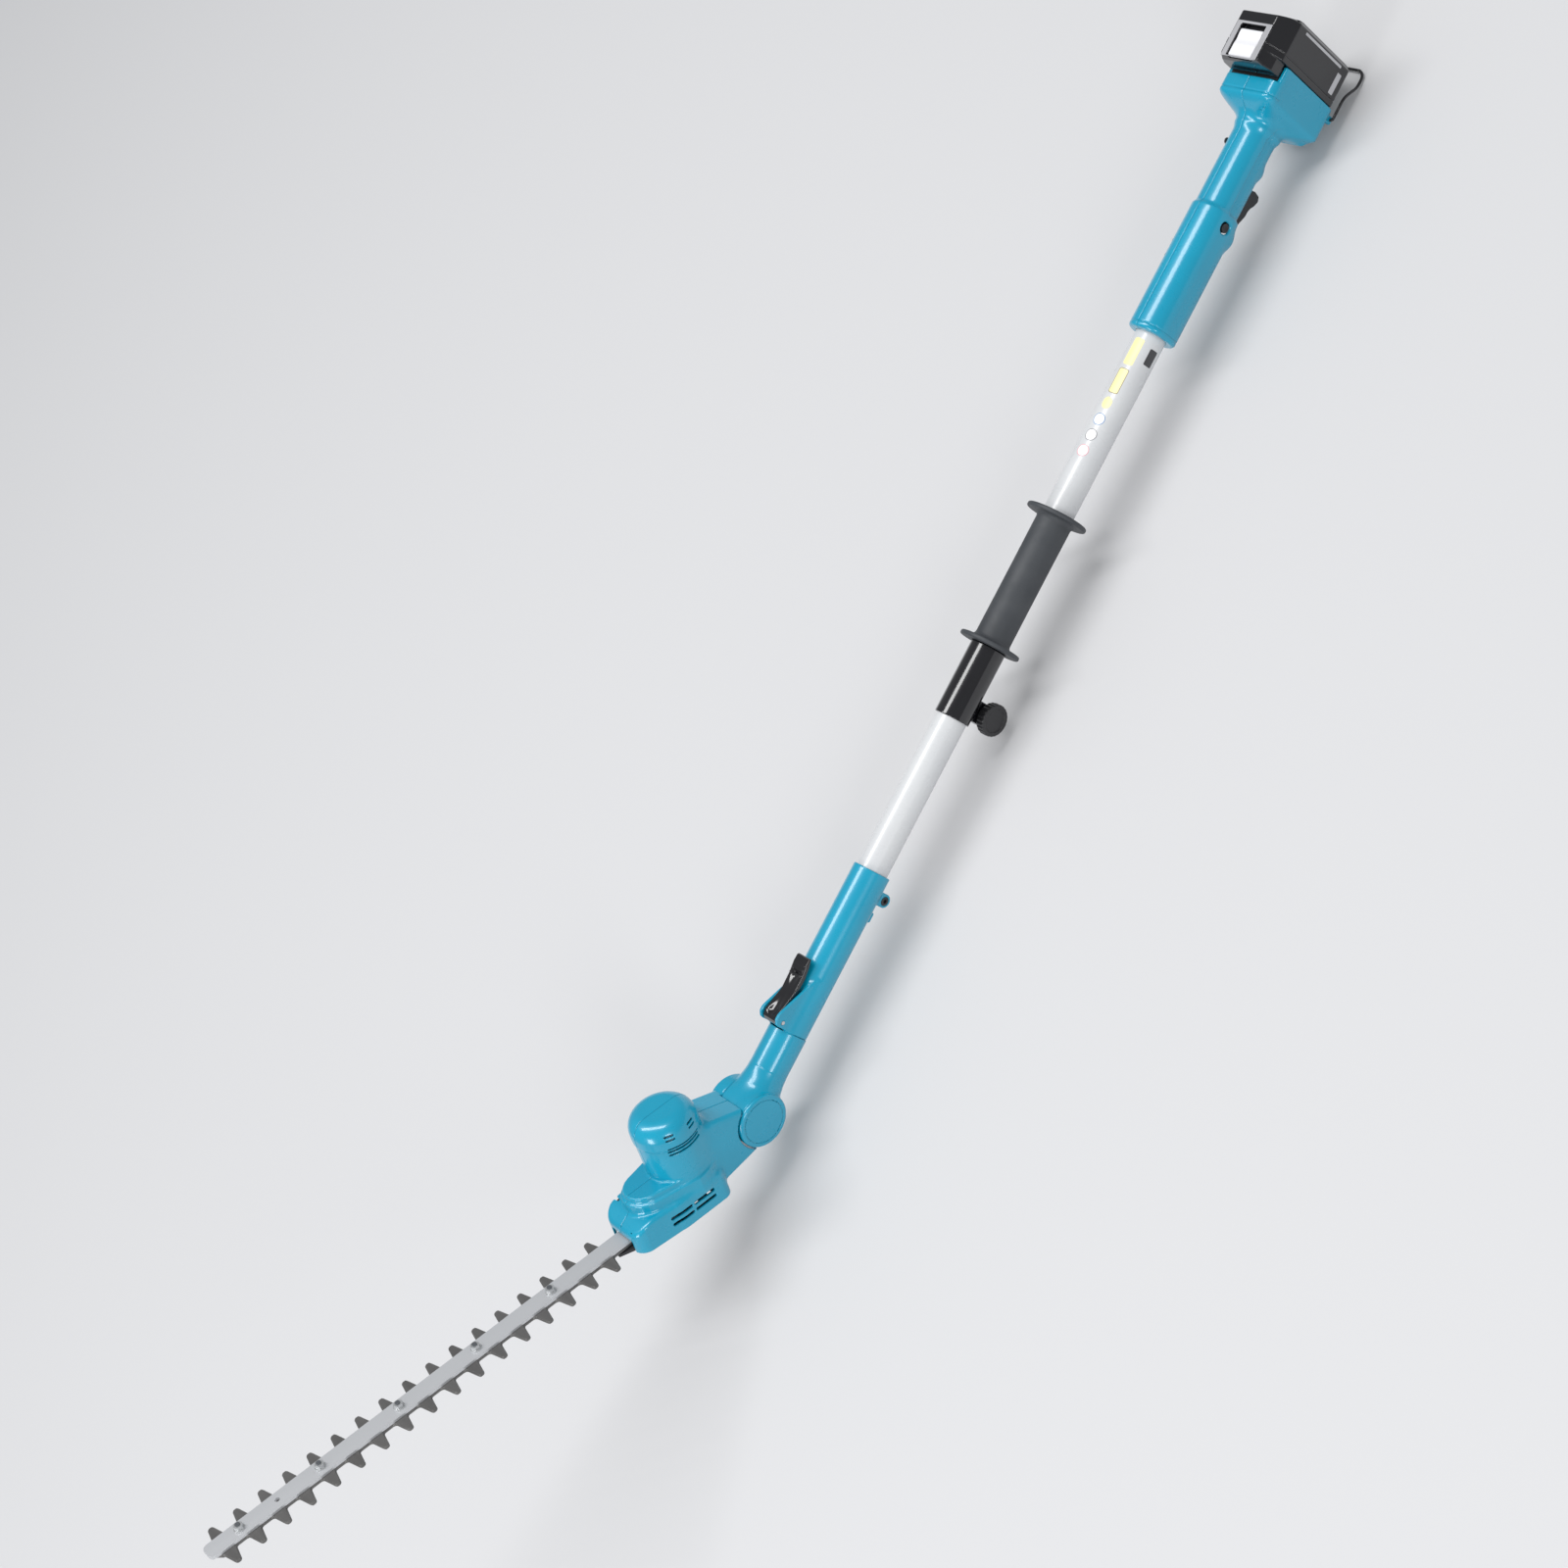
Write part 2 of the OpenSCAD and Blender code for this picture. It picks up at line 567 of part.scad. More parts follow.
// bar that locks the hinge, drawn back by the lever's finger
rod_y0 = 2.4;
rod_y1 = 7.6;
rod_half_z = 2.4;
rod_tip = hub_x - disc_r - 0.6;
module lock_rod() color("#8d9196") difference() {
    union() {
        box([seam_x - 24, rod_y0, -rod_half_z], [rod_tip, rod_y1, rod_half_z]);
        box([seam_x - 24, -7, -rod_half_z], [seam_x + 6, rod_y1, 4]);
        box([seam_x - 16, -7, 4 - eps], [seam_x - 11, 7, 13.4]);
    }
    // bevels that fit a notch
    for (s = [-1, 1]) translate([rod_tip, 0, s * 3]) rotate([0, s * 18, 0]) box([-6, 0, -1], [6, 10, 1]);
}

// ---- neck and hinge ----
neck_fit = 0.2;
module neck() color(teal) difference() {
    union() {
        xcyl(neck_r, seam_x + neck_fit, hub_x - 8);
        xcyl(bore_r - fit, seam_x - 24, seam_x + 1);
        translate([hub_x, 0, 0]) ycyl(hub_r, -split_y, hub_half - 3.6);
        // swelling from tube to hub
        translate([hub_x - hub_r - 14, 0, 0]) rotate([0, 90, 0]) cylinder(r1 = neck_r, r2 = neck_r + 3.4, h = 18);
    }
    // clearance round the head's half of the hub
    translate([hub_x, 0, 0]) ycyl(hub_r + 1.6, -hub_w, -split_y);
    xcyl(bore_r - 2.2, seam_x - 25, hub_x - hub_r + 1);
    box([hub_x - hub_r - 4, -split_y + 4.5, -7.5], [hub_x - 10, 17.4, 7.5]);
    translate([hub_x, 0, 0]) {
        ycyl(hub_r - 3.5, -split_y + 4, hub_half);
        ycyl(drum_r + fit, -split_y - over, 0);
    }
    // way in for the lever's finger
    box([seam_x - 25, -lever_half - 0.6, -4], [seam_x + 1, lever_half + 0.6, 40]);
}
module hub_cap() color(teal) translate([hub_x, 0, 0]) {
    ycyl(hub_r, hub_half - 3.5, hub_half);
    difference() {
        ycyl(hub_r - 3.5 - fit, hub_half - 6.5, hub_half - 3.5 + eps);
        ycyl(hub_r - 6, hub_half - 7.5, hub_half - 3.5);
    }
}
module hinge_drum() color("#9a9da1") translate([hub_x, 0, 0]) difference() {
    union() {
        ycyl(drum_r, -split_y - 5, 12);
        ycyl(hub_r - 3.6, -split_y - 5, -split_y - 1);
    }
    ycyl(drum_r - 4.5, -split_y - 6, 13);
}
module detent_disc() color("#7b7f84") in_hinge() difference() {
    ycyl(disc_r, 2, 8);
    ycyl(drum_r + fit, 1, 9);
    for (i = [0 : detents - 1]) rotate([0, i * 360 / detents, 0])
        translate([-disc_r, 0, 0]) rotate([0, 45, 0]) box([-1.6, 0, -1.6], [1.6, 10, 1.6]);
}
module in_hinge() translate([hub_x, 0, 0]) children();
module drum_nut() color("#55585c") in_hinge() difference() {
    ycyl(18, 8.1, 12);
    ycyl(drum_r + fit, 7, 13);
    for (i = [0 : 3]) rotate([0, i * 90, 0]) box([15.6, 10, -1.5], [20, 14, 1.5]);
}

// ---- cutting head ----
head_lo = [-60, -60, -90];
head_hi = [nose_x + 30, 60, 120];
vent_rows = [-24.5, -32];
vent_long = [37, 41, 45];
vent_short = [55, 59];

// upright cylinder with its top edge rounded
module dome(r, z0, z1, round_r) rotate_extrude() {
    square_from(0, z0, r, z1 - round_r);
    square_from(0, z0, r - round_r, z1);
    translate([r - round_r, z1 - round_r]) circle(r = round_r);
}
module square_from(x0, y0, x1, y1) translate([x0, y0]) square([x1 - x0, y1 - y0]);

// outline of the gear housing in plan, drawn in by d
function arc(c, r, a0, a1, n = 6) = [for (i = [0 : n]) let (a = a0 + (a1 - a0) * i / n) c + r * [cos(a), sin(a)]];
function base_outline(d) = concat(
    arc([motor_x - 18, base_w / 2 - 10], 10 - d, 180, 90),
    arc([motor_x + 26, base_w / 2 - 40], 40 - d, 90, 76),
    arc([nose_x - 15, base_w / 2 - 19], 15 - d, 76, 0),
    arc([nose_x - 15, -base_w / 2 + 19], 15 - d, 0, -76),
    arc([motor_x + 26, -base_w / 2 + 40], 40 - d, -76, -90),
    arc([motor_x - 18, -base_w / 2 + 10], 10 - d, -90, -180));
module base_slab(d, z0, z1) translate([0, 0, z0]) linear_extrude(height = z1 - z0) polygon(base_outline(d));

// arm seen from the side: widens from the hub to the motor housing
module arm_side(d, y0, y1) {
    ycyl(hub_r - 1.5 - d, y0, y1);
    translate([0, y1, 0]) rotate([90, 0, 0]) linear_extrude(height = y1 - y0)
        polygon([[4, hub_r - 5 - d], [motor_x - 30, 38 - d], [motor_x - 12, 38 - d],
            [motor_x - 12, -38 + d], [motor_x - 30, -34 + d], [4, -hub_r + 2 + d]]);
}

module head_outer() {
    ycyl(hub_r, -hub_half, -split_y - 0.6);
    // arm from the hub to the motor housing, hollowed round the neck's half of the hub
    difference() {
        arm_side(0, -hub_half + 1.5, hub_half - 2);
        ycyl(hub_r + 1.8, -split_y - 0.6, hub_w);
    }
    translate([motor_x, 0, 0]) dome(barrel_r, base_high - 2, dome_top, 17);
    // plinth round the foot of the motor housing, in two steps
    for (s = [[0, plinth_high - 6], [3, plinth_high]])
        translate([0, 0, base_high - 1]) linear_extrude(height = s[1] - base_high + 1)
            plinth_plan(s[0]);
    base_slab(0, base_low, base_high - 6);
    base_slab(4, base_high - 7, base_high);
}
module plinth_plan(d) polygon(concat(arc([motor_x, 0], barrel_r + 1 - d, 270, 90, 16),
    arc([nose_x - 40, 0], 25 - d, 76, -76, 10)));
module head_cavity() {
    ycyl(hub_r - 3.5, -hub_half + 3, -split_y);
    box([2, -hub_half + 4.5, -20], [motor_x, -split_y - 3, 20]);
    box([motor_x - 40, -22, -28], [motor_x, 22, 30]);
    translate([motor_x, 0, 0]) dome(barrel_r - 3, base_high - 3, dome_top - 3, 14);
    base_slab(3, base_low - over, base_high - 9);
    translate([0, 0, base_high - 10]) linear_extrude(height = case_high + 6 - base_high + 10) plinth_plan(3.4);
    // mouth of the blade
    box([nose_x - 20, -17, base_low - over], [nose_x + over, 17, bar_top + 3]);
    // side louvres of the gear housing
    for (z = vent_rows, x = [motor_x - 10, motor_x + 17]) for (s = [-1, 1])
        box([x, s > 0 ? 24 : -60, z - 1.8], [x + 25, s > 0 ? 60 : -24, z + 1.8]);
    // louvres of the motor housing
    for (z = vent_long) box([motor_x - 18, -60, z - 1], [motor_x + 18, 60, z + 1]);
    for (z = vent_short, x = [motor_x - 17, motor_x + 8]) box([x, -60, z - 1], [x + 9, 60, z + 1]);
    for (p = head_screw_pts) translate([p[0], 0, p[1]]) {
        ycyl(1.7, -60, 60);
        ycyl(3.4, -60, -p[2]);
    }
}
head_screw_pts = [[motor_x + 62, -16, 22], [38, 24, 20], [40, -26, 20]];
module head_posts() difference() {
    intersection() {
        head_outer();
        for (p = head_screw_pts) translate([p[0], 0, p[1]]) ycyl(4.2, -60, 60);
    }
    for (p = head_screw_pts) translate([p[0], 0, p[1]]) {
        ycyl(1.7, -60, 60);
        ycyl(3.4, -60, -p[2]);
    }
}
module head_shell() {
    difference() { head_outer(); head_cavity(); }
    head_posts();
}
module head_left() color(teal) in_head() left_half(head_lo, head_hi) head_shell();
module head_right() color(teal) in_head() right_half(head_lo, head_hi) head_shell();
module head_screws() color("#3a3d40") in_head() for (p = head_screw_pts) translate([p[0], 0, p[1]]) {
    ycyl(1.65, -p[2] - 0.5, 14);
    difference() {
        ycyl(3.2, -p[2] - 2.4, -p[2] - 0.4);
        rotate([90, 0, 0]) translate([0, 0, p[2] + 1.4]) cylinder(r = 1.4, h = 3, $fn = 6);
    }
}

module under_cover() color("#1b1c1f") in_head() difference() {
    plan_block(motor_x - 22, nose_x - 26, base_w - 14, base_low + 0.4, base_low + 2.4, 7);
    for (x = [motor_x - 14, motor_x + 2]) box([x, -16, base_low], [x + 5, 16, base_low + 3]);
}
can_r = 22;
can_low = case_high + 5.2;
can_high = 57;
shaft_r = 2.5;
module motor_can() color("#b4b7ba") in_head() translate([motor_x, 0, 0]) difference() {
    zcyl(can_r, can_low, can_high);
    zcyl(can_r - 2, can_low + 2, can_high - 2);
    zcyl(shaft_r + fit, can_low - over, can_high + over);
}
module motor_magnets() color("#3c3f42") in_head() translate([motor_x, 0, 0]) for (a = [0, 180]) rotate([0, 0, a])
    difference() {
        zcyl(can_r - 2 - fit, can_low + 8, can_high - 10);
        zcyl(16.4, can_low, can_high);
        box([-60, -60, 0], [60, 5, 90]);
    }
module rotor() color("#b87333") in_head() translate([motor_x, 0, 0]) {
    zcyl(shaft_r, case_high - 10, can_high + 7);
    zcyl(15.6, can_low + 8, can_high - 12);
    zcyl(8, can_high - 12, can_high - 4);
}
module fan() color("#1b1c1f") in_head() translate([motor_x, 0, 0]) difference() {
    union() {
        zcyl(5, can_high + 1, can_high + 7);
        zcyl(21, can_high + 1, can_high + 2.2);
        for (i = [0 : 8]) rotate([0, 0, i * 40]) box([4, -0.6, can_high + 1.5], [20, 0.6, can_high + 6.5]);
    }
    zcyl(shaft_r + fit, can_high, can_high + 8);
}

// trapezoid gear teeth on a disc
module gear_plan(teeth, m, phase) {
    r = m * teeth / 2;
    a = 360 / teeth;
    polygon([for (i = [0 : teeth - 1]) let (c = i * a + phase) each [
        (r - 1.15 * m) * [cos(c - 0.36 * a), sin(c - 0.36 * a)],
        (r + 0.8 * m) * [cos(c - 0.11 * a), sin(c - 0.11 * a)],
        (r + 0.8 * m) * [cos(c + 0.11 * a), sin(c + 0.11 * a)],
        (r - 1.15 * m) * [cos(c + 0.36 * a), sin(c + 0.36 * a)]]]);
}
module pinion() color("#8d9196") in_head() translate([motor_x, 0, case_high - 9.5]) difference() {
    linear_extrude(height = 9) gear_plan(pinion_teeth, gear_module, 180 / pinion_teeth);
    zcyl(shaft_r + fit, -over, 10);
}
crank_r = 4;
module drive_gear() color("#8d9196") in_head() translate([crank_x, 0, case_high - 8.5]) difference() {
    linear_extrude(height = 7) gear_plan(gear_teeth, gear_module, 180);
    zcyl(crank_r + fit, -over, 8);
    for (i = [0 : 4]) rotate([0, 0, i * 72]) translate([12, 0, 0]) zcyl(4, -over, 8);
}
module crank_shaft() color("#a5a8ab") in_head() translate([crank_x, 0, 0]) {
    zcyl(crank_r, lower_low - 0.4, case_high + 3.4);
    translate([throw, 0, 0]) zcyl(cam_r, upper_low + 0.15, bar_low - 0.1);
    translate([-throw, 0, 0]) zcyl(cam_r, lower_low - 0.4, upper_low - 0.05);
}
bearing_r = 9;
module bearing(z0, z1) difference() {
    zcyl(bearing_r, z0, z1);
    zcyl(crank_r + fit, z0 - over, z1 + over);
    // recess between the two races
    difference() {
        zcyl(7.4, z1 - 0.6, z1 + over);
        zcyl(5.6, z1 - 2, z1 + 2);
    }
}
module upper_bearing() color("#c9ccd0") in_head() translate([crank_x, 0, 0]) bearing(case_high + 0.1, case_high + 4.6);
module lower_bearing() color("#c9ccd0") in_head() translate([crank_x, 0, 0]) bearing(case_low + 0.1, case_low + 5);

module case_plan(d) {
    translate([crank_x, 0]) circle(r = 24 - d);
    translate([motor_x, 0]) circle(r = 17 - d);
    translate([motor_x, d - 17]) square([crank_x - motor_x, 34 - 2 * d]);
}
module gear_case() color("#9a9da1") in_head() difference() {
    union() {
        translate([0, 0, case_low]) linear_extrude(height = case_high - case_low) case_plan(0);
        // tongue that carries the guide bar
        box([crank_x + 18, -bar_w / 2, bar_top], [nose_x - 4, bar_w / 2, case_low + 6]);
    }
    translate([0, 0, case_low + 3]) linear_extrude(height = case_high - case_low) case_plan(2.4);
    translate([crank_x, 0, 0]) zcyl(bearing_r + fit, case_low - over, case_low + 3 + over);
    for (x = bar_bolt_xs) translate([x, 0, 0]) zcyl(2.5 + fit, -60, 0);
}
module gear_cover() color("#9a9da1") in_head() difference() {
    translate([0, 0, case_high + 0.05]) linear_extrude(height = 4.95) case_plan(0);
    translate([crank_x, 0, 0]) zcyl(bearing_r + fit, case_high - over, case_high + 6);
    translate([motor_x, 0, 0]) zcyl(5.6, case_high - over, case_high + 6);
}

// ---- blade ----
bar_bolt_xs = [crank_x + 35, crank_x + 49];
hole_x = last_tooth - 59;
tip_hole_r = 2.5;
module guide_bar() color("#c4c7ca") in_head() difference() {
    box([crank_x + 26, -bar_w / 2, bar_low], [bar_end, bar_w / 2, bar_top]);
    for (x = screw_xs) translate([x, 0, 0]) zcyl(2.5 + fit, -60, 0);
    for (x = bar_bolt_xs) translate([x, 0, 0]) zcyl(2.5 + fit, -60, 0);
    translate([hole_x, 0, 0]) zcyl(tip_hole_r, -60, 0);
}
module bar_bolts() color("#55585c") in_head() for (x = bar_bolt_xs) translate([x, 0, 0]) {
    zcyl(2.5, bar_low + 0.2, case_low + 7);
    zcyl(4.5, case_low + 6, case_low + 9);
}

// outline of a toothed blade, one side
function tooth_side(s) = [for (i = [0 : tooth_count - 1])
    let (k = s > 0 ? i : tooth_count - 1 - i, x = first_tooth + k * tooth_pitch, d = s > 0 ? 1 : -1)
    each [[x - d * 8, s * (bar_w / 2 + 0.5)], [x - d * 3.6, s * (tooth_reach - 2)],
        [x - d * 2.2, s * tooth_reach], [x + d * 2.2, s * tooth_reach],
        [x + d * 3.6, s * (tooth_reach - 2)], [x + d * 8, s * (bar_w / 2 + 0.5)]]];
window_x = cam_r + 2 * throw + 0.6;
window_y = cam_r + throw + 0.6;
yoke_x = window_x + 4.5;
yoke_y = window_y + 4.5;
module blade_plan(front) difference() {
    polygon(concat([[crank_x + yoke_x, -bar_w / 2 + 1], [crank_x + yoke_x, -yoke_y],
            [crank_x - yoke_x, -yoke_y], [crank_x - yoke_x, yoke_y],
            [crank_x + yoke_x, yoke_y], [crank_x + yoke_x, bar_w / 2 - 1]], tooth_side(1),
            [[front, bar_w / 2 + 0.5], [front + 5, 4], [front + 5, -4], [front, -bar_w / 2 - 0.5]],
            tooth_side(-1)));
    translate([crank_x - window_x, -window_y]) square([2 * window_x, 2 * window_y]);
    // slots round the bushes of the guide screws and the bar's bolts
    for (x = screw_xs) slot_plan(x, bush_r + gap);
    for (x = bar_bolt_xs) slot_plan(x, 3.6);
    slot_plan(hole_x, tip_hole_r + 0.5);
}
module slot_plan(x, r) {
    for (s = [-1, 1]) translate([x + s * throw, 0]) circle(r = r);
    translate([x - throw, -r]) square([2 * throw, 2 * r]);
}
bush_r = 3.4;
module upper_blade() color("#9da1a6") in_head() translate([0, 0, upper_low])
    linear_extrude(height = blade_t) blade_plan(last_tooth + 9);
module lower_blade() color("#9da1a6") in_head() translate([0, 0, lower_low])
    linear_extrude(height = blade_t) blade_plan(last_tooth + 9);
module blade_screws() color("#6d7175") in_head() for (x = screw_xs) translate([x, 0, 0]) difference() {
    union() {
        zcyl(2.5, bar_low - 1, bar_top + 6);
        zcyl(bush_r, lower_low - slide_gap, bar_low);
        zcyl(6.5, lower_low - slide_gap - 2.4, lower_low - slide_gap);
    }
    translate([0, 0, lower_low - slide_gap - 3]) cylinder(r = 2, h = 2, $fn = 6);
}
module blade_nuts() color("silver") in_head() for (x = screw_xs) translate([x, 0, 0]) difference() {
    union() {
        zcyl(5.4, bar_top, bar_top + 1);
        translate([0, 0, bar_top + 1 - eps]) cylinder(r = 4.6, h = 4, $fn = 6);
    }
    zcyl(2.5 + fit, bar_top - over, bar_top + 6);
}
// wedge under the blade's root
module blade_holder() color("#141416") in_head() translate([0, 0, lower_low - 3.4])
    linear_extrude(height = 2.8) polygon([[nose_x - 24, -15], [nose_x - 2, -15], [nose_x + 14, -9],
        [nose_x + 14, 9], [nose_x - 2, 15], [nose_x - 24, 15]]);

// lead from the hinge to the motor
head_route = [[0, 10, 0], [0, -14, 0], [0.6, -18, 0], [3.5, -20.2, 0], [30, -20.2, 2], [46, -19, 8],
    [54, -16, 15], [60, -12, 24], [62, -10, 34]];
module head_lead() color("dimgray") in_head() wire(head_route, lead_r);

pole_tube();
power_lead();
grip_rubber();
clamp_sleeve();
clamp_screw();
clamp_knob();
handle_left();
handle_right();
handle_screws();
terminal_block();
controller_board();
switch_body();
trigger();
trigger_pin();
trigger_spring();
lock_button();
lock_button_spring();
hook();
battery_case();
battery_lid();
battery_button();
battery_cells();
lower_sleeve();
pinch_bolt();
pinch_nut();
latch_lever();
lever_pin();
lock_spring();
lock_rod();
neck();
hub_cap();
hinge_drum();
detent_disc();
drum_nut();
head_lead();
head_left();
head_right();
head_screws();
under_cover();
motor_can();
motor_magnets();
rotor();
fan();
pinion();
gear_case();
gear_cover();
drive_gear();
crank_shaft();
upper_bearing();
lower_bearing();
guide_bar();
bar_bolts();
upper_blade();
lower_blade();
blade_screws();
blade_nuts();
blade_holder();
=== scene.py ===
# %% [markdown]
# # A pole hedge trimmer, piece by piece
# This lesson dresses a finished mechanical model of a cordless pole hedge trimmer. The frame already
# holds every part at its true place and size, so each cell here only makes the shape or the finish of
# one piece better: moulded shells with soft edges, a turned rubber grip, ground steel teeth.

# %% Load the frame
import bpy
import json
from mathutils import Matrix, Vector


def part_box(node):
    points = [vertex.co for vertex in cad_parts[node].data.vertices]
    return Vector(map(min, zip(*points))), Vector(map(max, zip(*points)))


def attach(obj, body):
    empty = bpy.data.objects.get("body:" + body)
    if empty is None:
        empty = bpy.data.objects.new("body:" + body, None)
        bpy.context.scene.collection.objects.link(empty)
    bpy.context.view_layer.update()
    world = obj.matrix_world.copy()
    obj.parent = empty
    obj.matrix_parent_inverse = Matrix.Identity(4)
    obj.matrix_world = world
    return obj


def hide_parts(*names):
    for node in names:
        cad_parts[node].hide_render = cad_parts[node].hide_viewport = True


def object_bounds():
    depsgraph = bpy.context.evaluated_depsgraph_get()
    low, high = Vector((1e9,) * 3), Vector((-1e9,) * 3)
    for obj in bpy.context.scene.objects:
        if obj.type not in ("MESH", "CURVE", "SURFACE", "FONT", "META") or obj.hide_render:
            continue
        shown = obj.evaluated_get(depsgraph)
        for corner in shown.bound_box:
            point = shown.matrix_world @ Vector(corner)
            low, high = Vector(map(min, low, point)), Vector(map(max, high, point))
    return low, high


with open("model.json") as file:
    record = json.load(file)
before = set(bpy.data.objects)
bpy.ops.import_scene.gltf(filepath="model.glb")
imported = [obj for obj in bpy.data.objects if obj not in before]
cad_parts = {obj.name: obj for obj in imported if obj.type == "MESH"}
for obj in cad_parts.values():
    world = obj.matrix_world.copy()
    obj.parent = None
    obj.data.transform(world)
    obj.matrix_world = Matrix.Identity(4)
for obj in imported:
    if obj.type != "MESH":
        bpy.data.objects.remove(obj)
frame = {"nodes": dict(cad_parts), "record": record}
cad_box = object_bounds()
print("the whole tool is", [round((h - l) * 1000) for l, h in zip(*cad_box)], "mm")

# %% Other modules
import functools
import json
import math

import bmesh
import bpy
import numpy as np
from mathutils import Matrix, Vector
from mathutils.geometry import delaunay_2d_cdt

# %% [markdown]
# ## Where things are
# Every place below comes from the frame: the box of a part, or the point and axis of a joint. The
# shapes are easiest to think about in millimetres, so places are read in millimetres and a mesh is
# scaled to metres when it is made.

# %% Read places from the frame
MM = 0.001


def box_mm(node):
    low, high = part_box(node)
    return np.array(low) / MM, np.array(high) / MM


joint = {j["name"]: j for j in frame["record"]["behaviour"]["joints"]}
hub = np.array(joint["head_tilt"]["pos_m"]) / MM
along = np.array(joint["upper_blade_stroke"]["axis"], float)
tilt = math.atan2(along[2], along[0])
print("hub at", hub, "mm, head tilted up", round(math.degrees(tilt)), "degrees")

# %% Two working frames
# The pole's own frame, and the head's, whose X runs along the blade from the hinge.
POLE = Matrix.Identity(4)
HEAD = Matrix.Translation(Vector(hub)) @ Matrix.Rotation(-tilt, 4, "Y")


def head_box(node):
    corners = [HEAD.inverted() @ (v.co / MM) for v in frame["nodes"][node].data.vertices]
    points = np.array([tuple(c) for c in corners])
    return points.min(0), points.max(0)


bar_low, bar_high = head_box("guide_bar")
POLE_BORE = 16.05        # radius of a bore that the pole passes through
PIN_HOLE = 2.05          # radius of the hole for a pivot pin
HUB_R = 27.5
print("the guide bar runs from", bar_low.round(1), "to", bar_high.round(1), "in the head's frame")

# %% [markdown]
# ## A clay box of distance fields
# Moulded plastic has no sharp corner anywhere: every edge is a small radius and every join is a
# fillet. Bevels on a mesh of that kind break where many edges meet. A distance field does not: it is
# a formula for how far a point is from the surface, and two of them blend with a fillet of any
# radius. The field is turned into a mesh by putting one vertex in each small cube that the surface
# passes through, and sliding it along the field's slope until it lies on the surface.

# %% Basic fields
def rounded(a, b, edge):
    a, b = a + edge, b + edge
    return np.minimum(np.maximum(a, b), 0) + np.hypot(np.maximum(a, 0), np.maximum(b, 0)) - edge


def slab(p, low, high, edge=0.0):
    low, high = np.array(low, float), np.array(high, float)
    q = np.abs(p - (low + high) / 2) - ((high - low) / 2 - edge)
    return np.linalg.norm(np.maximum(q, 0), axis=1) + np.minimum(q.max(1), 0) - edge


def turned(p, centre, axis, radius, low, high, edge=0.0):
    u, v = [i for i in range(3) if i != axis]
    radial = np.hypot(p[:, u] - centre[u], p[:, v] - centre[v]) - radius
    ends = np.abs(p[:, axis] - (low + high) / 2) - (high - low) / 2
    return rounded(radial, ends, edge)


def capsule(p, a, b, radius):
    a, b = np.array(a, float), np.array(b, float)
    t = np.clip((p - a) @ (b - a) / ((b - a) @ (b - a)), 0, 1)
    return np.linalg.norm(p - a - t[:, None] * (b - a), axis=1) - radius


# %% Fields of outlines
def outline(u, v, points):
    """Distance from (u, v) to a closed outline, negative inside."""
    best = np.full(len(u), 1e9)
    side = np.ones(len(u))
    for (ax, ay), (bx, by) in zip(points, points[1:] + points[:1]):
        ex, ey = bx - ax, by - ay
        t = np.clip(((u - ax) * ex + (v - ay) * ey) / (ex * ex + ey * ey), 0, 1)
        best = np.minimum(best, (u - ax - t * ex) ** 2 + (v - ay - t * ey) ** 2)
        crosses = (ay > v) != (by > v)
        right = u < ex * (v - ay) / (ey if ey else 1e-9) + ax
        side = np.where(crosses & right, -side, side)
    return side * np.sqrt(best)


def prism(p, axes, points, low, high, edge=0.0, corner=0.0):
    """An outline in the plane of two axes, drawn out along the third, with soft edges."""
    third = 3 - axes[0] - axes[1]
    flat = outline(p[:, axes[0]], p[:, axes[1]], points) - corner
    return rounded(flat, np.abs(p[:, third] - (low + high) / 2) - (high - low) / 2, edge)


def arc(centre, radius, start, end, steps=6):
    turns = [math.radians(start + (end - start) * i / steps) for i in range(steps + 1)]
    return [(centre[0] + radius * math.cos(a), centre[1] + radius * math.sin(a)) for a in turns]


# %% Blends between fields
def join(a, b, fillet=0.0):
    if not fillet:
        return np.minimum(a, b)
    h = np.maximum(fillet - np.abs(a - b), 0) / fillet
    return np.minimum(a, b) - h * h * fillet / 4


def union(*fields):
    return functools.reduce(np.minimum, fields)


def keep(a, b, edge=0.0):
    return -join(-a, -b, edge)


def cut(a, b, edge=0.0):
    return keep(a, -b, edge)


# %% From field to mesh
def slope(field, p, h=0.02):
    steps = np.eye(3) * h
    return np.stack([field(p + s) - field(p - s) for s in steps], 1) / (2 * h)


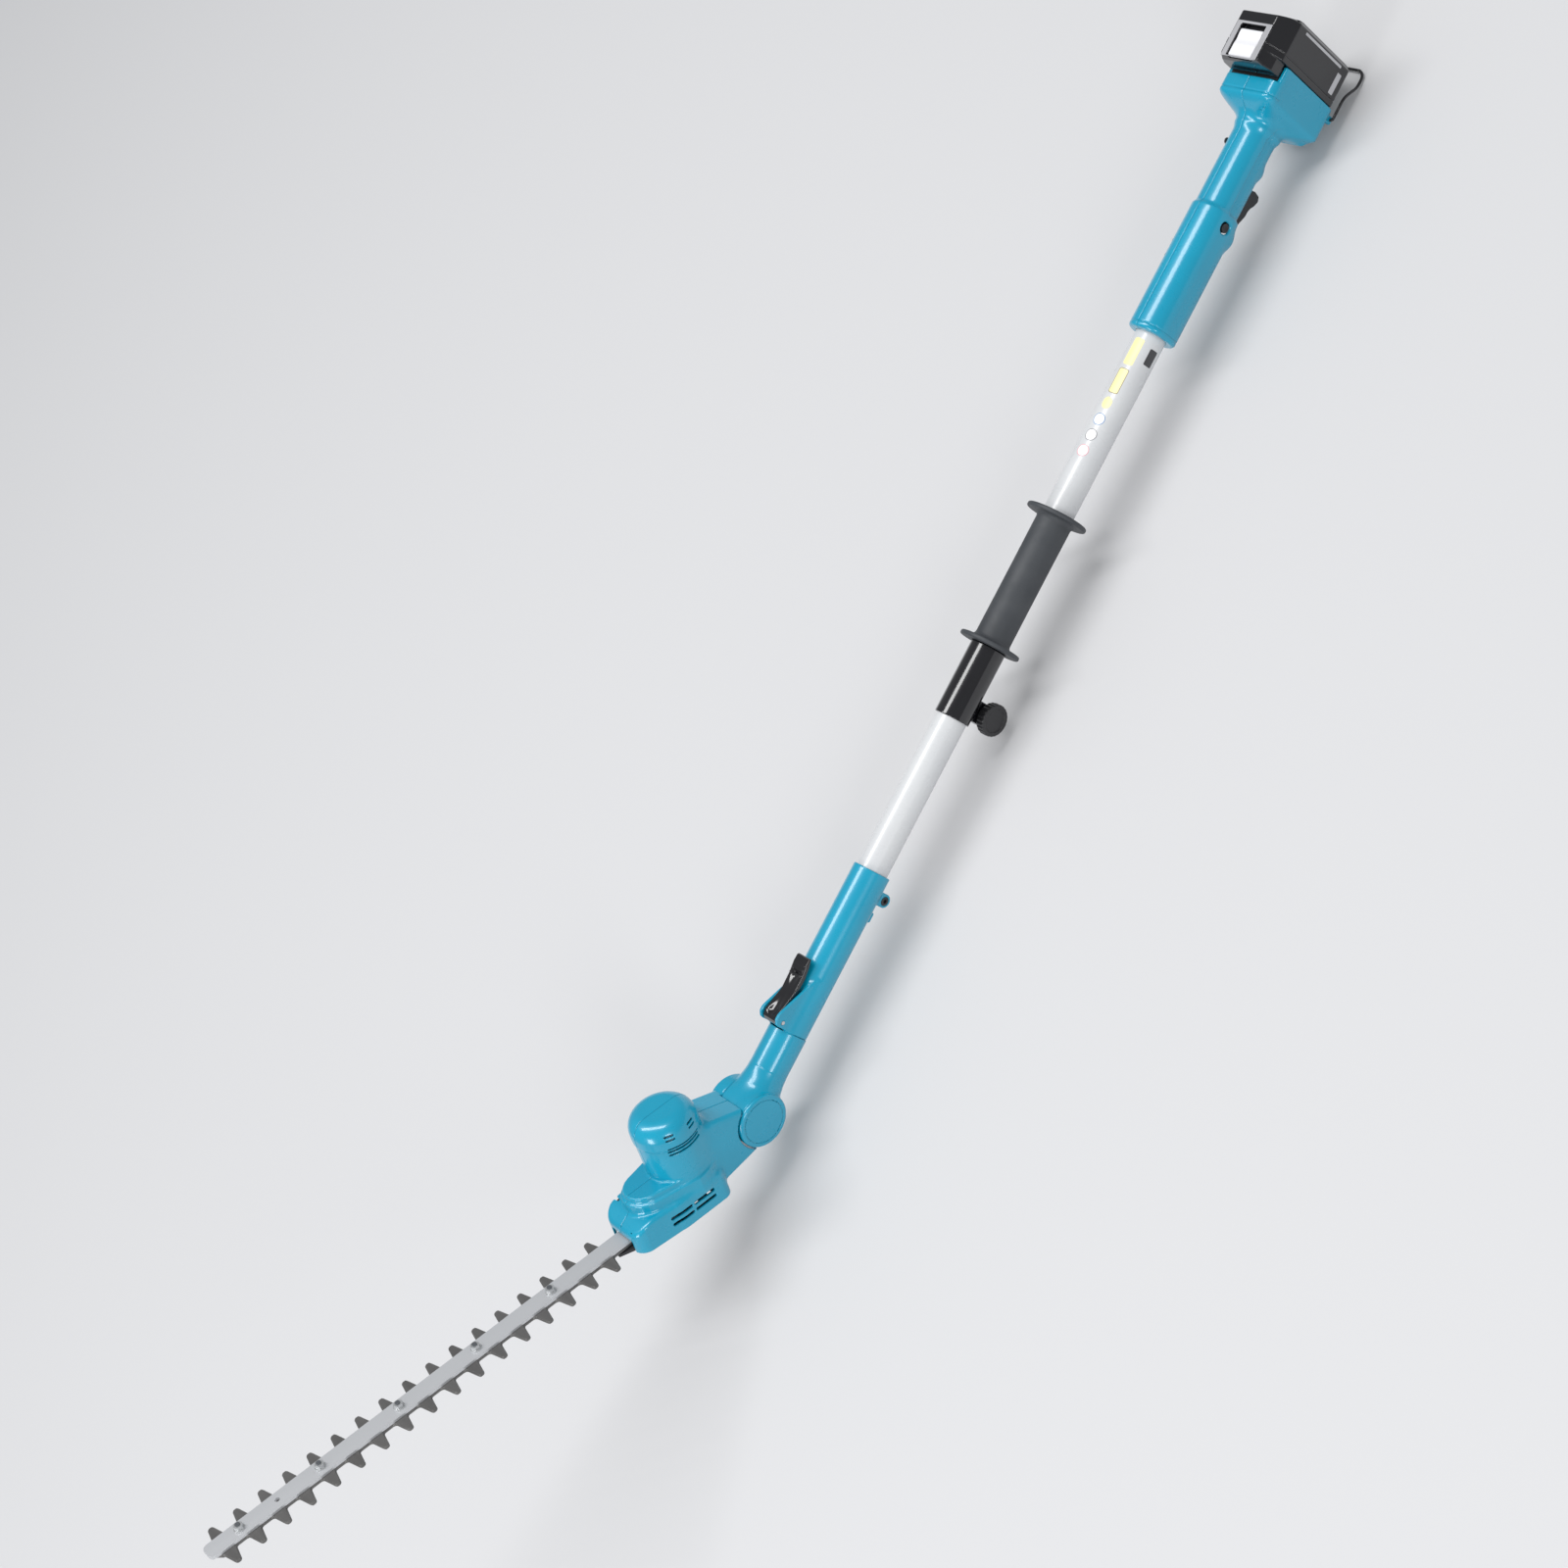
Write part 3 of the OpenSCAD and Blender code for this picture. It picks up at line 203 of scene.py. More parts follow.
def net(field, low, high, cell):
    """Points and quads of the surface where the field is zero."""
    low, high = np.array(low, float), np.array(high, float)
    counts = np.ceil((high - low) / cell).astype(int) + 1
    lines = [low[i] + cell * np.arange(counts[i]) for i in range(3)]
    sparse = np.stack(np.meshgrid(*[line[::4] for line in lines], indexing="ij"), -1)
    value = field(sparse.reshape(-1, 3)).reshape(sparse.shape[:3])
    for axis in range(3):
        value = np.repeat(value, 4, axis=axis)
    value = value[:counts[0], :counts[1], :counts[2]].copy()
    near = np.argwhere(np.abs(value) < 8 * cell)
    spots = low + cell * near
    value[tuple(near.T)] = np.concatenate(
        [field(part) for part in np.array_split(spots, max(1, len(spots) // 400000))])
    inside = value < 0
    total = sum(inside[i:counts[0] - 1 + i, j:counts[1] - 1 + j, k:counts[2] - 1 + k].astype(np.int8)
                for i in (0, 1) for j in (0, 1) for k in (0, 1))
    number = np.full(total.shape, -1)
    cells = np.argwhere((total > 0) & (total < 8))
    number[tuple(cells.T)] = np.arange(len(cells))
    sums, hits = np.zeros((len(cells), 3)), np.zeros(len(cells))
    for axis in range(3):
        others = [i for i in range(3) if i != axis]
        for du in (0, 1):
            for dv in (0, 1):
                a = cells.copy()
                a[:, others[0]] += du
                a[:, others[1]] += dv
                b = a.copy()
                b[:, axis] += 1
                va, vb = value[tuple(a.T)], value[tuple(b.T)]
                crossed = (va < 0) != (vb < 0)
                t = np.where(crossed, va / np.where(crossed, va - vb, 1), 0)
                point = a.astype(float)
                point[:, axis] += t
                sums[crossed] += point[crossed]
                hits += crossed
    points = low + cell * sums / hits[:, None]
    quads = []
    for axis in range(3):
        u, v = (axis + 1) % 3, (axis + 2) % 3
        first = [slice(None)] * 3
        second = [slice(None)] * 3
        first[axis], second[axis] = slice(0, -1), slice(1, None)
        edges = np.argwhere(inside[tuple(first)] != inside[tuple(second)])
        edges = edges[(edges[:, u] > 0) & (edges[:, v] > 0)
                      & (edges[:, u] < counts[u] - 1) & (edges[:, v] < counts[v] - 1)]
        starts_inside = inside[tuple(edges.T)]
        corners = []
        for du, dv in ((1, 1), (0, 1), (0, 0), (1, 0)):
            c = edges.copy()
            c[:, u] -= du
            c[:, v] -= dv
            corners.append(number[tuple(c.T)])
        quad = np.stack(corners, 1)
        quad[~starts_inside] = quad[~starts_inside][:, ::-1]
        quads.append(quad)
    quads = np.concatenate(quads)
    for _ in range(3):
        g = slope(field, points)
        move = -field(points)[:, None] * g / np.maximum((g * g).sum(1), 0.05)[:, None]
        points += np.clip(move, -cell * 0.6, cell * 0.6)
    return points, quads[(quads >= 0).all(1)]


# %% Make a moulded piece
def mesh_object(name, points, faces, place=POLE):
    mesh = bpy.data.meshes.new(name)
    turned_points = np.array(points) @ np.array(place.to_3x3()).T + np.array(place.translation)
    mesh.from_pydata((turned_points * MM).tolist(), [], faces)
    mesh.validate()
    piece = bpy.data.objects.new(name, mesh)
    bpy.context.scene.collection.objects.link(piece)
    mesh.polygons.foreach_set("use_smooth", [True] * len(mesh.polygons))
    return piece


def mould(name, field, low, high, cell=1.0, place=POLE):
    """A piece whose skin is where the field is zero, shaded by the field's own slope."""
    points, quads = net(field, low, high, cell)
    piece = mesh_object(name, points, quads.tolist(), place)
    g = slope(field, points)
    g = g / np.maximum(np.linalg.norm(g, axis=1), 1e-6)[:, None]
    g = g @ np.array(place.to_3x3()).T
    piece.data.normals_split_custom_set_from_vertices(g.tolist())
    print(f"{name}: {len(quads)} faces, {cell} mm apart")
    return piece


def stand_for(piece, body, finish, *nodes):
    """The piece takes the place of these nodes, moves with the body and wears the finish."""
    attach(piece, body)
    if nodes:
        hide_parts(*nodes)
    piece.data.materials.clear()
    piece.data.materials.append(finish)
    return piece


def cast(name, field, body, finish, node, cell):
    """Mould a piece inside the box of one node, and let it stand for that node."""
    low, high = box_mm(node)
    return stand_for(mould(name, field, low - 1, high + 1, cell), body, finish, node)

# %% [markdown]
# # Finishes
# Each finish is a small tree of procedural nodes: a slow noise that shifts the colour and the gloss
# a little, as handling and moulding do, and a fine grain that only tilts the light. Object
# coordinates are in metres here, so a noise scale of 1000 makes spots about a millimetre apart.

# %% A finish with grain
def finish(name, colour, other, rough, grain, depth, metal=0.0, coat=0.0, stretch=(1, 1, 1), cloud=14,
           wear=None):
    """colour drifts to other in slow clouds; rough is a pair; grain is the scale of the fine bump."""
    material = bpy.data.materials.new(name)
    material.use_nodes = True
    tree = material.node_tree
    shader = tree.nodes["Principled BSDF"]
    shader.inputs["Metallic"].default_value = metal
    shader.inputs["Coat Weight"].default_value = coat
    shader.inputs["Coat Roughness"].default_value = 0.08
    place = tree.nodes.new("ShaderNodeTexCoord")
    lay = tree.nodes.new("ShaderNodeMapping")
    lay.vector_type = "TEXTURE"
    lay.inputs["Rotation"].default_value = (0, -tilt if stretch != (1, 1, 1) else 0, 0)
    lay.inputs["Scale"].default_value = stretch
    tree.links.new(place.outputs["Object"], lay.inputs["Vector"])
    clouds = tree.nodes.new("ShaderNodeTexNoise")
    clouds.inputs["Scale"].default_value = cloud
    clouds.inputs["Detail"].default_value = 4
    tree.links.new(lay.outputs["Vector"], clouds.inputs["Vector"])
    drift = tree.nodes.new("ShaderNodeValToRGB")
    drift.color_ramp.elements[0].position, drift.color_ramp.elements[1].position = 0.35, 0.65
    drift.color_ramp.elements[0].color = (*colour, 1)
    drift.color_ramp.elements[1].color = (*other, 1)
    tree.links.new(clouds.outputs["Fac"], drift.inputs["Fac"])
    shade = drift.outputs["Color"]
    if wear:
        ridge = tree.nodes.new("ShaderNodeNewGeometry")
        rub = tree.nodes.new("ShaderNodeMapRange")
        rub.inputs["From Min"].default_value, rub.inputs["From Max"].default_value = 0.53, 0.62
        rub.inputs["To Max"].default_value = 0.45
        tree.links.new(ridge.outputs["Pointiness"], rub.inputs["Value"])
        worn = tree.nodes.new("ShaderNodeMix")
        worn.data_type = "RGBA"
        worn.inputs["B"].default_value = (*wear, 1)
        tree.links.new(rub.outputs["Result"], worn.inputs["Factor"])
        tree.links.new(shade, worn.inputs["A"])
        shade = worn.outputs["Result"]
    tree.links.new(shade, shader.inputs["Base Color"])
    fine = tree.nodes.new("ShaderNodeTexNoise")
    fine.inputs["Scale"].default_value = grain
    fine.inputs["Detail"].default_value = 3
    tree.links.new(lay.outputs["Vector"], fine.inputs["Vector"])
    gloss = tree.nodes.new("ShaderNodeMapRange")
    gloss.inputs["To Min"].default_value, gloss.inputs["To Max"].default_value = rough
    smear = tree.nodes.new("ShaderNodeTexNoise")
    smear.inputs["Scale"].default_value = cloud * 5
    smear.inputs["Detail"].default_value = 5
    tree.links.new(lay.outputs["Vector"], smear.inputs["Vector"])
    tree.links.new(smear.outputs["Fac"], gloss.inputs["Value"])
    tree.links.new(gloss.outputs["Result"], shader.inputs["Roughness"])
    bump = tree.nodes.new("ShaderNodeBump")
    bump.inputs["Distance"].default_value = depth
    bump.inputs["Strength"].default_value = 1
    tree.links.new(fine.outputs["Fac"], bump.inputs["Height"])
    tree.links.new(bump.outputs["Normal"], shader.inputs["Normal"])
    return material


# %% [markdown]
# ## Plastics and rubber
# The housings are glossy nylon in a deep teal with almost no grain. The battery, the lever and the
# clamp sleeve are gloss black, and the trigger and knob are satin. The grip is soft rubber: rougher,
# greyer, and with a fine tooth that scatters the light.

# %% Mix the plastics
teal = finish("teal_plastic", (0.0, 0.3, 0.46), (0.0, 0.28, 0.435), (0.24, 0.32), 1800, 0.000004,
              coat=0.5, wear=(0.03, 0.38, 0.54))
gloss_black = finish("gloss_black", (0.006, 0.006, 0.008), (0.009, 0.009, 0.011), (0.1, 0.2), 2200,
                     0.000002, coat=0.5)
satin_black = finish("satin_black", (0.012, 0.012, 0.014), (0.018, 0.018, 0.02), (0.32, 0.46), 2600,
                     0.00001)
grip_rubber = finish("grip_rubber", (0.038, 0.043, 0.05), (0.05, 0.055, 0.062), (0.5, 0.66), 2400,
                     0.00003, cloud=30)
pale_plastic = finish("pale_plastic", (0.8, 0.8, 0.82), (0.72, 0.72, 0.75), (0.25, 0.4), 1900, 0.000005)
silver_plastic = finish("silver_plastic", (0.5, 0.5, 0.52), (0.42, 0.42, 0.44), (0.28, 0.4), 2000,
                        0.000005, metal=0.3)
print("six plastics mixed")

# %% [markdown]
# ## Metals and the rest
# The guide bar is bright rolled steel, brushed along its length: the noise is stretched along the
# blade so that it turns into fine lines. The teeth are darker, hardened steel, with a brighter bevel
# where the wheel has ground them. The pole wears a white powder coat with its orange-peel skin.

# %% Mix the metals
BRUSHED = (40, 1, 1)
ACROSS = (1, 30, 1)
bright_steel = finish("bright_steel", (0.6, 0.61, 0.63), (0.54, 0.55, 0.57), (0.34, 0.48), 900, 0.00001,
                      metal=0.45, stretch=BRUSHED)
tooth_steel = finish("tooth_steel", (0.13, 0.127, 0.125), (0.17, 0.166, 0.163), (0.34, 0.5), 700,
                     0.00001, metal=0.5, stretch=ACROSS, cloud=60)
ground_steel = finish("ground_steel", (0.46, 0.455, 0.45), (0.38, 0.375, 0.37), (0.26, 0.38), 900,
                      0.00001, metal=0.6, stretch=ACROSS, cloud=60)
zinc = finish("zinc", (0.62, 0.63, 0.65), (0.55, 0.56, 0.55), (0.2, 0.34), 1200, 0.000008, metal=1.0,
              cloud=60)
dark_steel = finish("dark_steel", (0.05, 0.052, 0.056), (0.075, 0.075, 0.08), (0.3, 0.45), 1400, 0.00001,
                    metal=0.8, cloud=50)
cast_alloy = finish("cast_alloy", (0.5, 0.51, 0.53), (0.42, 0.43, 0.45), (0.42, 0.58), 900, 0.00006,
                    metal=0.85, cloud=40)
white_coat = finish("white_coat", (0.6, 0.61, 0.62), (0.57, 0.58, 0.595), (0.22, 0.34), 700, 0.000018,
                    coat=0.25, cloud=20)
wire_coat = finish("wire_coat", (0.008, 0.008, 0.01), (0.014, 0.014, 0.016), (0.2, 0.32), 1500, 0.00001,
                   coat=0.3)
copper = finish("copper", (0.62, 0.24, 0.1), (0.5, 0.18, 0.07), (0.25, 0.4), 1400, 0.00003, metal=0.9)
ferrite = finish("ferrite", (0.05, 0.05, 0.055), (0.08, 0.08, 0.085), (0.5, 0.7), 900, 0.00005)
cell_wrap = finish("cell_wrap", (0.03, 0.14, 0.36), (0.04, 0.17, 0.42), (0.25, 0.4), 800, 0.00001)
board_green = finish("board_green", (0.01, 0.09, 0.035), (0.015, 0.12, 0.05), (0.3, 0.45), 900, 0.00002)
sheath = finish("sheath", (0.03, 0.03, 0.033), (0.045, 0.045, 0.05), (0.45, 0.6), 1600, 0.00002)
print(len(bpy.data.materials), "finishes in all")

# %% Give each carried-over part its finish
finish_of = {
    bright_steel: "upper_bearing lower_bearing",
    zinc: "clamp_screw trigger_pin trigger_spring lock_button_spring pinch_nut lever_pin lock_spring "
          "lock_rod motor_can crank_shaft",
    dark_steel: "handle_screws pinch_bolt detent_disc drum_nut head_screws pinion drive_gear bar_bolts",
    cast_alloy: "hinge_drum gear_case gear_cover",
    satin_black: "terminal_block switch_body battery_lid fan under_cover",
    copper: "rotor", ferrite: "motor_magnets", cell_wrap: "battery_cells",
    board_green: "controller_board", sheath: "power_lead head_lead", white_coat: "pole_tube",
}
for material, names in finish_of.items():
    for name in names.split():
        node = frame["nodes"][name]
        node.data.materials.clear()
        node.data.materials.append(material)
print("finishes given to", sum(len(n.split()) for n in finish_of.values()), "parts")

# %% [markdown]
# # Rear handle
# The handle is two moulded shells, left and right, screwed together. Its front half is an oval bar
# round the pole, its rear half a slimmer oval with a raised panel, and it flares into the foot that
# the battery slides on. One field describes the whole skin, and each half keeps its own side of it,
# with the edge along the parting line rounded over: that is what makes a real seam.

# %% Stations of the handle
handle_low, handle_high = box_mm("handle_left")
rim, mouth = handle_low[0], handle_high[0]
step_x = mouth - 134
foot_x = step_x - 96
flare_x = foot_x - 12
case_low, case_high = box_mm("battery_case")
floor_x = box_mm("terminal_block")[1][0] - 9
cap_low, cap_high = box_mm("lock_button")
button_at = (cap_low + cap_high) / 2
trigger_low, trigger_high = box_mm("trigger")
hook_at = np.array(joint["hook_swing"]["pos_m"]) / MM
print("handle from", rim, "to", mouth, "and its step at", step_x)


# %% Handle skin
def oval(p, width, height):
    return np.hypot(p[:, 1], np.maximum(np.abs(p[:, 2]) - (height - width) / 2, 0)) - width / 2


def span(p, low, high):
    return np.abs(p[:, 0] - (low + high) / 2) - (high - low) / 2


def foot_field(p):
    """Block of the foot, drawn in to the handle's oval as x rises past the flare."""
    t = np.clip((p[:, 0] - flare_x + 3) / (foot_x + 7 - flare_x), 0, 1)
    t = t * t * (3 - 2 * t)
    half_w, half_h, corner = 36 - 16.5 * t, 45.5 - 23 * t, 11 + 8.4 * t
    y = np.abs(p[:, 1]) - half_w + corner
    z = np.abs(p[:, 2] + 1 - t) - half_h + corner
    around = np.hypot(np.maximum(y, 0), np.maximum(z, 0)) + np.minimum(np.maximum(y, z), 0) - corner
    return rounded(around * 0.72, span(p, rim, foot_x + 6), 1.2)


def handle_skin(p):
    front = rounded(oval(p, 45, 52), span(p, step_x - 3, mouth), 3.5)
    rear = oval(p, 39, 45)
    panel = keep(rear - 1.2, 4 - p[:, 2], 1.2)
    rear = rounded(join(rear, panel, 0.8), span(p, foot_x - 4, step_x + 6), 0.5)
    skin = join(front, rear, 3)
    # belly in front of the trigger and the small swell behind it
    belly = capsule(p, (step_x + 16, -7, -18), (step_x + 16, 7, -18), 9.5)
    skin = join(skin, belly, 9)
    swell = capsule(p, (trigger_low[0] - 8, -5, -14.5), (trigger_low[0] - 14, 5, -14.5), 9.5)
    skin = join(skin, swell, 6)
    skin = join(skin, foot_field(p), 9)
    chin = slab(p, (flare_x - 14, -24, -45.5), (flare_x + 7, 24, -24), 6)
    skin = join(skin, chin, 5)
    # rib down the outside of the foot, on the trigger side
    rib = slab(p, (rim + 9, -17, -49.3), (flare_x + 1, 17, -40), 3)
    skin = join(skin, rib, 2)
    for side in (-1, 1):
        ear = slab(p, (hook_at[0] - 4, side * 27 - 3, hook_at[2] - 3.6),
                   (hook_at[0] + 4, side * 27 + 3, -40), 1.5)
        skin = join(skin, ear, 2)
    return skin


# %% What is cut out of the handle
pole_back = box_mm("pole_tube")[0][0]


def handle_room(p, skin):
    """Everything that is air: bore, hollow, battery seat, trigger slot and button well."""
    bore = turned(p, (0, 0, 0), 0, POLE_BORE, pole_back - 1, mouth + 5)
    hollow = keep(skin + 2.6, p[:, 0] - pole_back)
    hollow = keep(hollow, floor_x + 3 - p[:, 0])
    seat = slab(p, (rim - 9, -31, -41.5), (floor_x, 31, 80))
    nose = keep(p[:, 0] - floor_x - 1.5, 39.1 - p[:, 2])
    slot = slab(p, (trigger_low[0] - 3, -8.3, -70), (trigger_high[0] + 3, 8.3, -15), 1)
    well = turned(p, button_at, 1, 4.9, 0, 60)
    dish = np.hypot(p[:, 0] - button_at[0], p[:, 2] - button_at[2]) - (8.4 - (23 - p[:, 1]) * 1.0)
    return union(bore, hollow, seat, nose, slot, well, np.where(p[:, 1] > 18.5, dish * 0.7, 9))


def handle_lines(p, skin):
    """Fine grooves: round the mouth, along the grip, and across the foot."""
    ring = np.hypot(skin, p[:, 0] - mouth + 6) - 0.55
    groove = np.hypot(skin, p[:, 2] + 1.5) - 0.5
    groove = keep(groove, span(p, foot_x + 6, step_x - 10))
    across = np.hypot(skin, p[:, 0] - flare_x + 5.5) - 0.6
    across = keep(across, 30 - p[:, 2])
    return union(ring, groove, across)


def handle_half(side):
    def field(p):
        skin = handle_skin(p)
        shell = cut(skin, handle_room(p, skin), 0.6)
        shell = cut(shell, handle_lines(p, skin), 0.5)
        return keep(shell, 0.07 - side * p[:, 1], 0.9)
    return field


# %% Mould the two halves
for side, name in ((1, "handle_left"), (-1, "handle_right")):
    low = (rim - 2, -38 if side < 0 else -1.5, -56)
    high = (mouth + 2, 1.5 if side < 0 else 38, handle_high[2] + 3)
    half = mould(name + "_shell", handle_half(side), low, high, 1.0)
    stand_for(half, "pole", teal, name)

# %% [markdown]
# ## Trigger, lock-off button and hook
# The trigger is a curved paddle with a groove for the finger. The lock-off button on the left side
# must be pushed in before the trigger can move, so its cap is dished for a thumb. The hook is one
# bent steel wire with a black coat, sprung into two small ears on the foot.

# %% Trigger
pivot = np.array(joint["trigger_squeeze"]["pos_m"]) / MM
paddle_side = [(pivot[0] + a, pivot[2] + b) for a, b in (
    (4, 2), (4, -5), (0, -8), (-20, -15), (-40, -21.5), (-44.5, -19), (-46, -12), (-44, -3), (-40, -1),
    (-10, -1), (-6, 3), (0, 4.5))]


def paddle(p):
    body = prism(p, (0, 2), paddle_side, -7.5, 7.5, 1.6)
    groove = capsule(p, (pivot[0] - 24, -9, pivot[2] - 26.5), (pivot[0] - 24, 9, pivot[2] - 26.5), 11.6)
    body = cut(body, groove, 1.5)
    return cut(body, turned(p, pivot, 1, PIN_HOLE, -9, 9))


cast("trigger_paddle", paddle, "trigger", satin_black, "trigger", 0.8)


# %% Lock-off button
def push_button(p):
    body = turned(p, button_at, 1, 4.8, cap_low[1], cap_high[1], 0.7)
    body = np.minimum(body, turned(p, button_at, 1, 6.2, cap_low[1], cap_low[1] + 4, 0.4))
    ball = np.linalg.norm(p - np.array([button_at[0], cap_high[1] + 6.4, button_at[2]]), axis=1) - 7.6
    return cut(body, ball, 0.3)


cast("lock_cap", push_button, "lock_button", satin_black, "lock_button", 0.5)


# %% Sweep a wire along points
def smooth_route(points, steps=5):
    out = []
    for i in range(len(points) - 1):
        a, b, c, d = (np.array(points[min(max(i + k, 0), len(points) - 1)], float)
                      for k in (-1, 0, 1, 2))
        for s in range(steps):
            t = s / steps
            out.append(0.5 * (2 * b + (c - a) * t + (2 * a - 5 * b + 4 * c - d) * t * t
                              + (3 * b - a - 3 * c + d) * t ** 3))
    return out + [np.array(points[-1], float)]


def wire(name, points, radius, sides=14):
    route = smooth_route(points)
    rings, normal = [], np.array([1.0, 0.2, 0.1])
    for i, centre in enumerate(route):
        ahead = route[min(i + 1, len(route) - 1)] - route[max(i - 1, 0)]
        ahead /= np.linalg.norm(ahead)
        normal = normal - ahead * (normal @ ahead)
        normal /= np.linalg.norm(normal)
        across = np.cross(ahead, normal)
        rings += [centre + radius * (math.cos(a) * normal + math.sin(a) * across)
                  for a in (2 * math.pi * k / sides for k in range(sides))]
    faces = [[i * sides + k, i * sides + (k + 1) % sides,
              (i + 1) * sides + (k + 1) % sides, (i + 1) * sides + k]
             for i in range(len(route) - 1) for k in range(sides)]
    faces += [list(range(sides))[::-1], list(range(len(rings) - sides, len(rings)))]
    print(f"{name}: {len(route)} rings")
    return mesh_object(name, rings, faces)


# %% Bend the hook
hook_side = [(0, 0, 0), (0, 6.4, 0), (-1, 8.2, 0), (-3.4, 9, 0), (-22, 9, 0), (-30, 8.4, -3),
             (-40, 7, -10), (-46, 6, -12.6), (-54, 4.6, -13.8), (-58.6, 2, -14), (-61, -2, -14),
             (-61.6, -7, -14)]
hook_half = 24
hook_points = [(hook_at[0] + x, hook_half + y, hook_at[2] + z) for x, y, z in hook_side]
hook_points += [(x, -y, z) for x, y, z in reversed(hook_points)]
hook_wire_r = 1.5
stand_for(wire("hook_wire", hook_points, hook_wire_r), "hook", wire_coat, "hook")

# %% [markdown]
# # Battery
# The battery is a gloss black block as wide as the foot. Its outer edges are chamfered, its upper
# end narrows, and a deep nose closes over the foot. The end panel is silver-grey with a pale
# release button, and two plain silver strips stand where a maker would print.

# %% Battery field
BATTERY_SIDE = 36.35
nose_low = 39.5
taper_z, top_z = case_high[2] - 18, case_high[2]
block_outline = [(-BATTERY_SIDE, case_low[2]), (BATTERY_SIDE, case_low[2]), (BATTERY_SIDE, taper_z),
                 (25, top_z), (-25, top_z), (-BATTERY_SIDE, taper_z)]


def block_points(shrink):
    return [(y - math.copysign(shrink, y), z + (shrink if z < 0 else -shrink))
            for y, z in block_outline]


pocket_low, pocket_high = box_mm("battery_button")


def battery_field(p):
    around = outline(p[:, 1], p[:, 2], block_points(4)) - 4
    ends = np.abs(p[:, 0] - (case_low[0] + rim - 0.3) / 2) - (rim - 0.3 - case_low[0]) / 2
    block = rounded(around, ends, 1)
    chamfer = (around + (case_low[0] + 5.5 - p[:, 0])) / 1.414
    block = keep(block, chamfer, 1)
    lean = ((case_low[0] - p[:, 0]) * 24 + (p[:, 2] - 47) * 9) / 25.6
    block = keep(block, lean, 1.5)
    nose = outline(p[:, 1], p[:, 2], [(-29, nose_low + 3), (29, nose_low + 3), (29, taper_z),
                                      (22, top_z - 3), (-22, top_z - 3), (-29, taper_z)]) - 2.8
    reach = floor_x - 2.2 - np.maximum(p[:, 2] - 62, 0) * 0.2
    nose = rounded(nose, np.maximum(rim - 9 - p[:, 0], p[:, 0] - reach), 2)
    block = join(block, nose, 1)
    cells = slab(p, (case_low[0] + 3, -32.8, -36), (rim - 3, 32.8, 53.5))
    pocket = slab(p, (pocket_low[0] - 4.5, -16, 64.5), (pocket_high[0] + 0.5, 16, 90), 1)
    shank = slab(p, (rim - 17, -8, 55), (rim - 7, 8, 65))
    recess = slab(p, (pocket_low[0] - 8, -23, top_z - 0.9), (pocket_high[0] + 5, 23, 90))
    # a shallow line where the two halves of the case meet
    line = np.hypot(around, p[:, 0] - rim + 7) - 0.7
    return cut(block, union(cells, pocket, shank, recess, line), 0.5)


cast("battery_shell", battery_field, "battery", gloss_black, "battery_case", 1.0)


# %% Panel, strips and release button
def panel_field(p):
    sheet = slab(p, (pocket_low[0] - 7.6, -22.6, top_z - 0.9),
                 (pocket_high[0] + 1.6, 22.6, top_z - 0.1), 0.3)
    return cut(sheet, slab(p, (pocket_low[0] - 4.5, -16, 60), (pocket_high[0] + 0.5, 16, 90), 0.5))


def strips_field(p):
    sunk, proud = BATTERY_SIDE - 0.4, BATTERY_SIDE + 0.12
    edge = slab(p, (case_low[0] + 7, sunk, -24), (case_low[0] + 10, proud, 40), 0.1)
    foot = slab(p, (case_low[0] + 14, sunk, -30), (rim - 9, proud, -23), 0.1)
    return np.minimum(edge, foot)


def release(p):
    top = slab(p, (pocket_low[0], -15, 64.9), (pocket_high[0], 15, pocket_high[2]), 1.6)
    dip = capsule(p, (pocket_low[0] + 11, -30, top_z + 9), (pocket_low[0] + 11, 30, top_z + 9), 11)
    return np.minimum(cut(top, dip, 1), slab(p, (rim - 12, -7, pocket_low[2]), (rim - 8, 7, 66), 0.4))


panel = mould("battery_panel", panel_field, (pocket_low[0] - 10, -25, top_z - 2),
              (pocket_high[0] + 4, 25, top_z + 1), 0.7)
strips = mould("battery_strips", strips_field, (case_low[0] + 5, 35.5, -33), (rim - 7, 37.2, 43), 0.6)
for trim in (panel, strips):
    stand_for(trim, "battery", silver_plastic)
cast("release_button", release, "battery_button", pale_plastic, "battery_button", 0.8)

# %% [markdown]
# # Front grip and clamp
# The grip is a soft rubber sleeve turned with a hand stop at each end. It is a solid of revolution,
# so its profile says everything. The gloss black clamp sleeve runs on under the rubber, and its split
# lug is drawn together by a fluted knob.

# %% Turn a profile round the pole
def face_outward(piece, weld=None):
    bm = bmesh.new()
    bm.from_mesh(piece.data)
    if weld:
        bmesh.ops.remove_doubles(bm, verts=bm.verts, dist=weld)
    bmesh.ops.recalc_face_normals(bm, faces=bm.faces)
    bm.to_mesh(piece.data)
    bm.free()
    return piece


def lathe(name, profile, steps=96):
    points, faces, n = [], [], len(profile)
    for i in range(steps):
        a = 2 * math.pi * i / steps
        points += [(x, r * math.cos(a), r * math.sin(a)) for x, r in profile]
    for i in range(steps):
        for k in range(n):
            following, after = (i + 1) % steps, (k + 1) % n
            faces.append([i * n + k, i * n + after, following * n + after, following * n + k])
    print(f"{name}: {len(faces)} faces")
    return face_outward(mesh_object(name, points, faces))


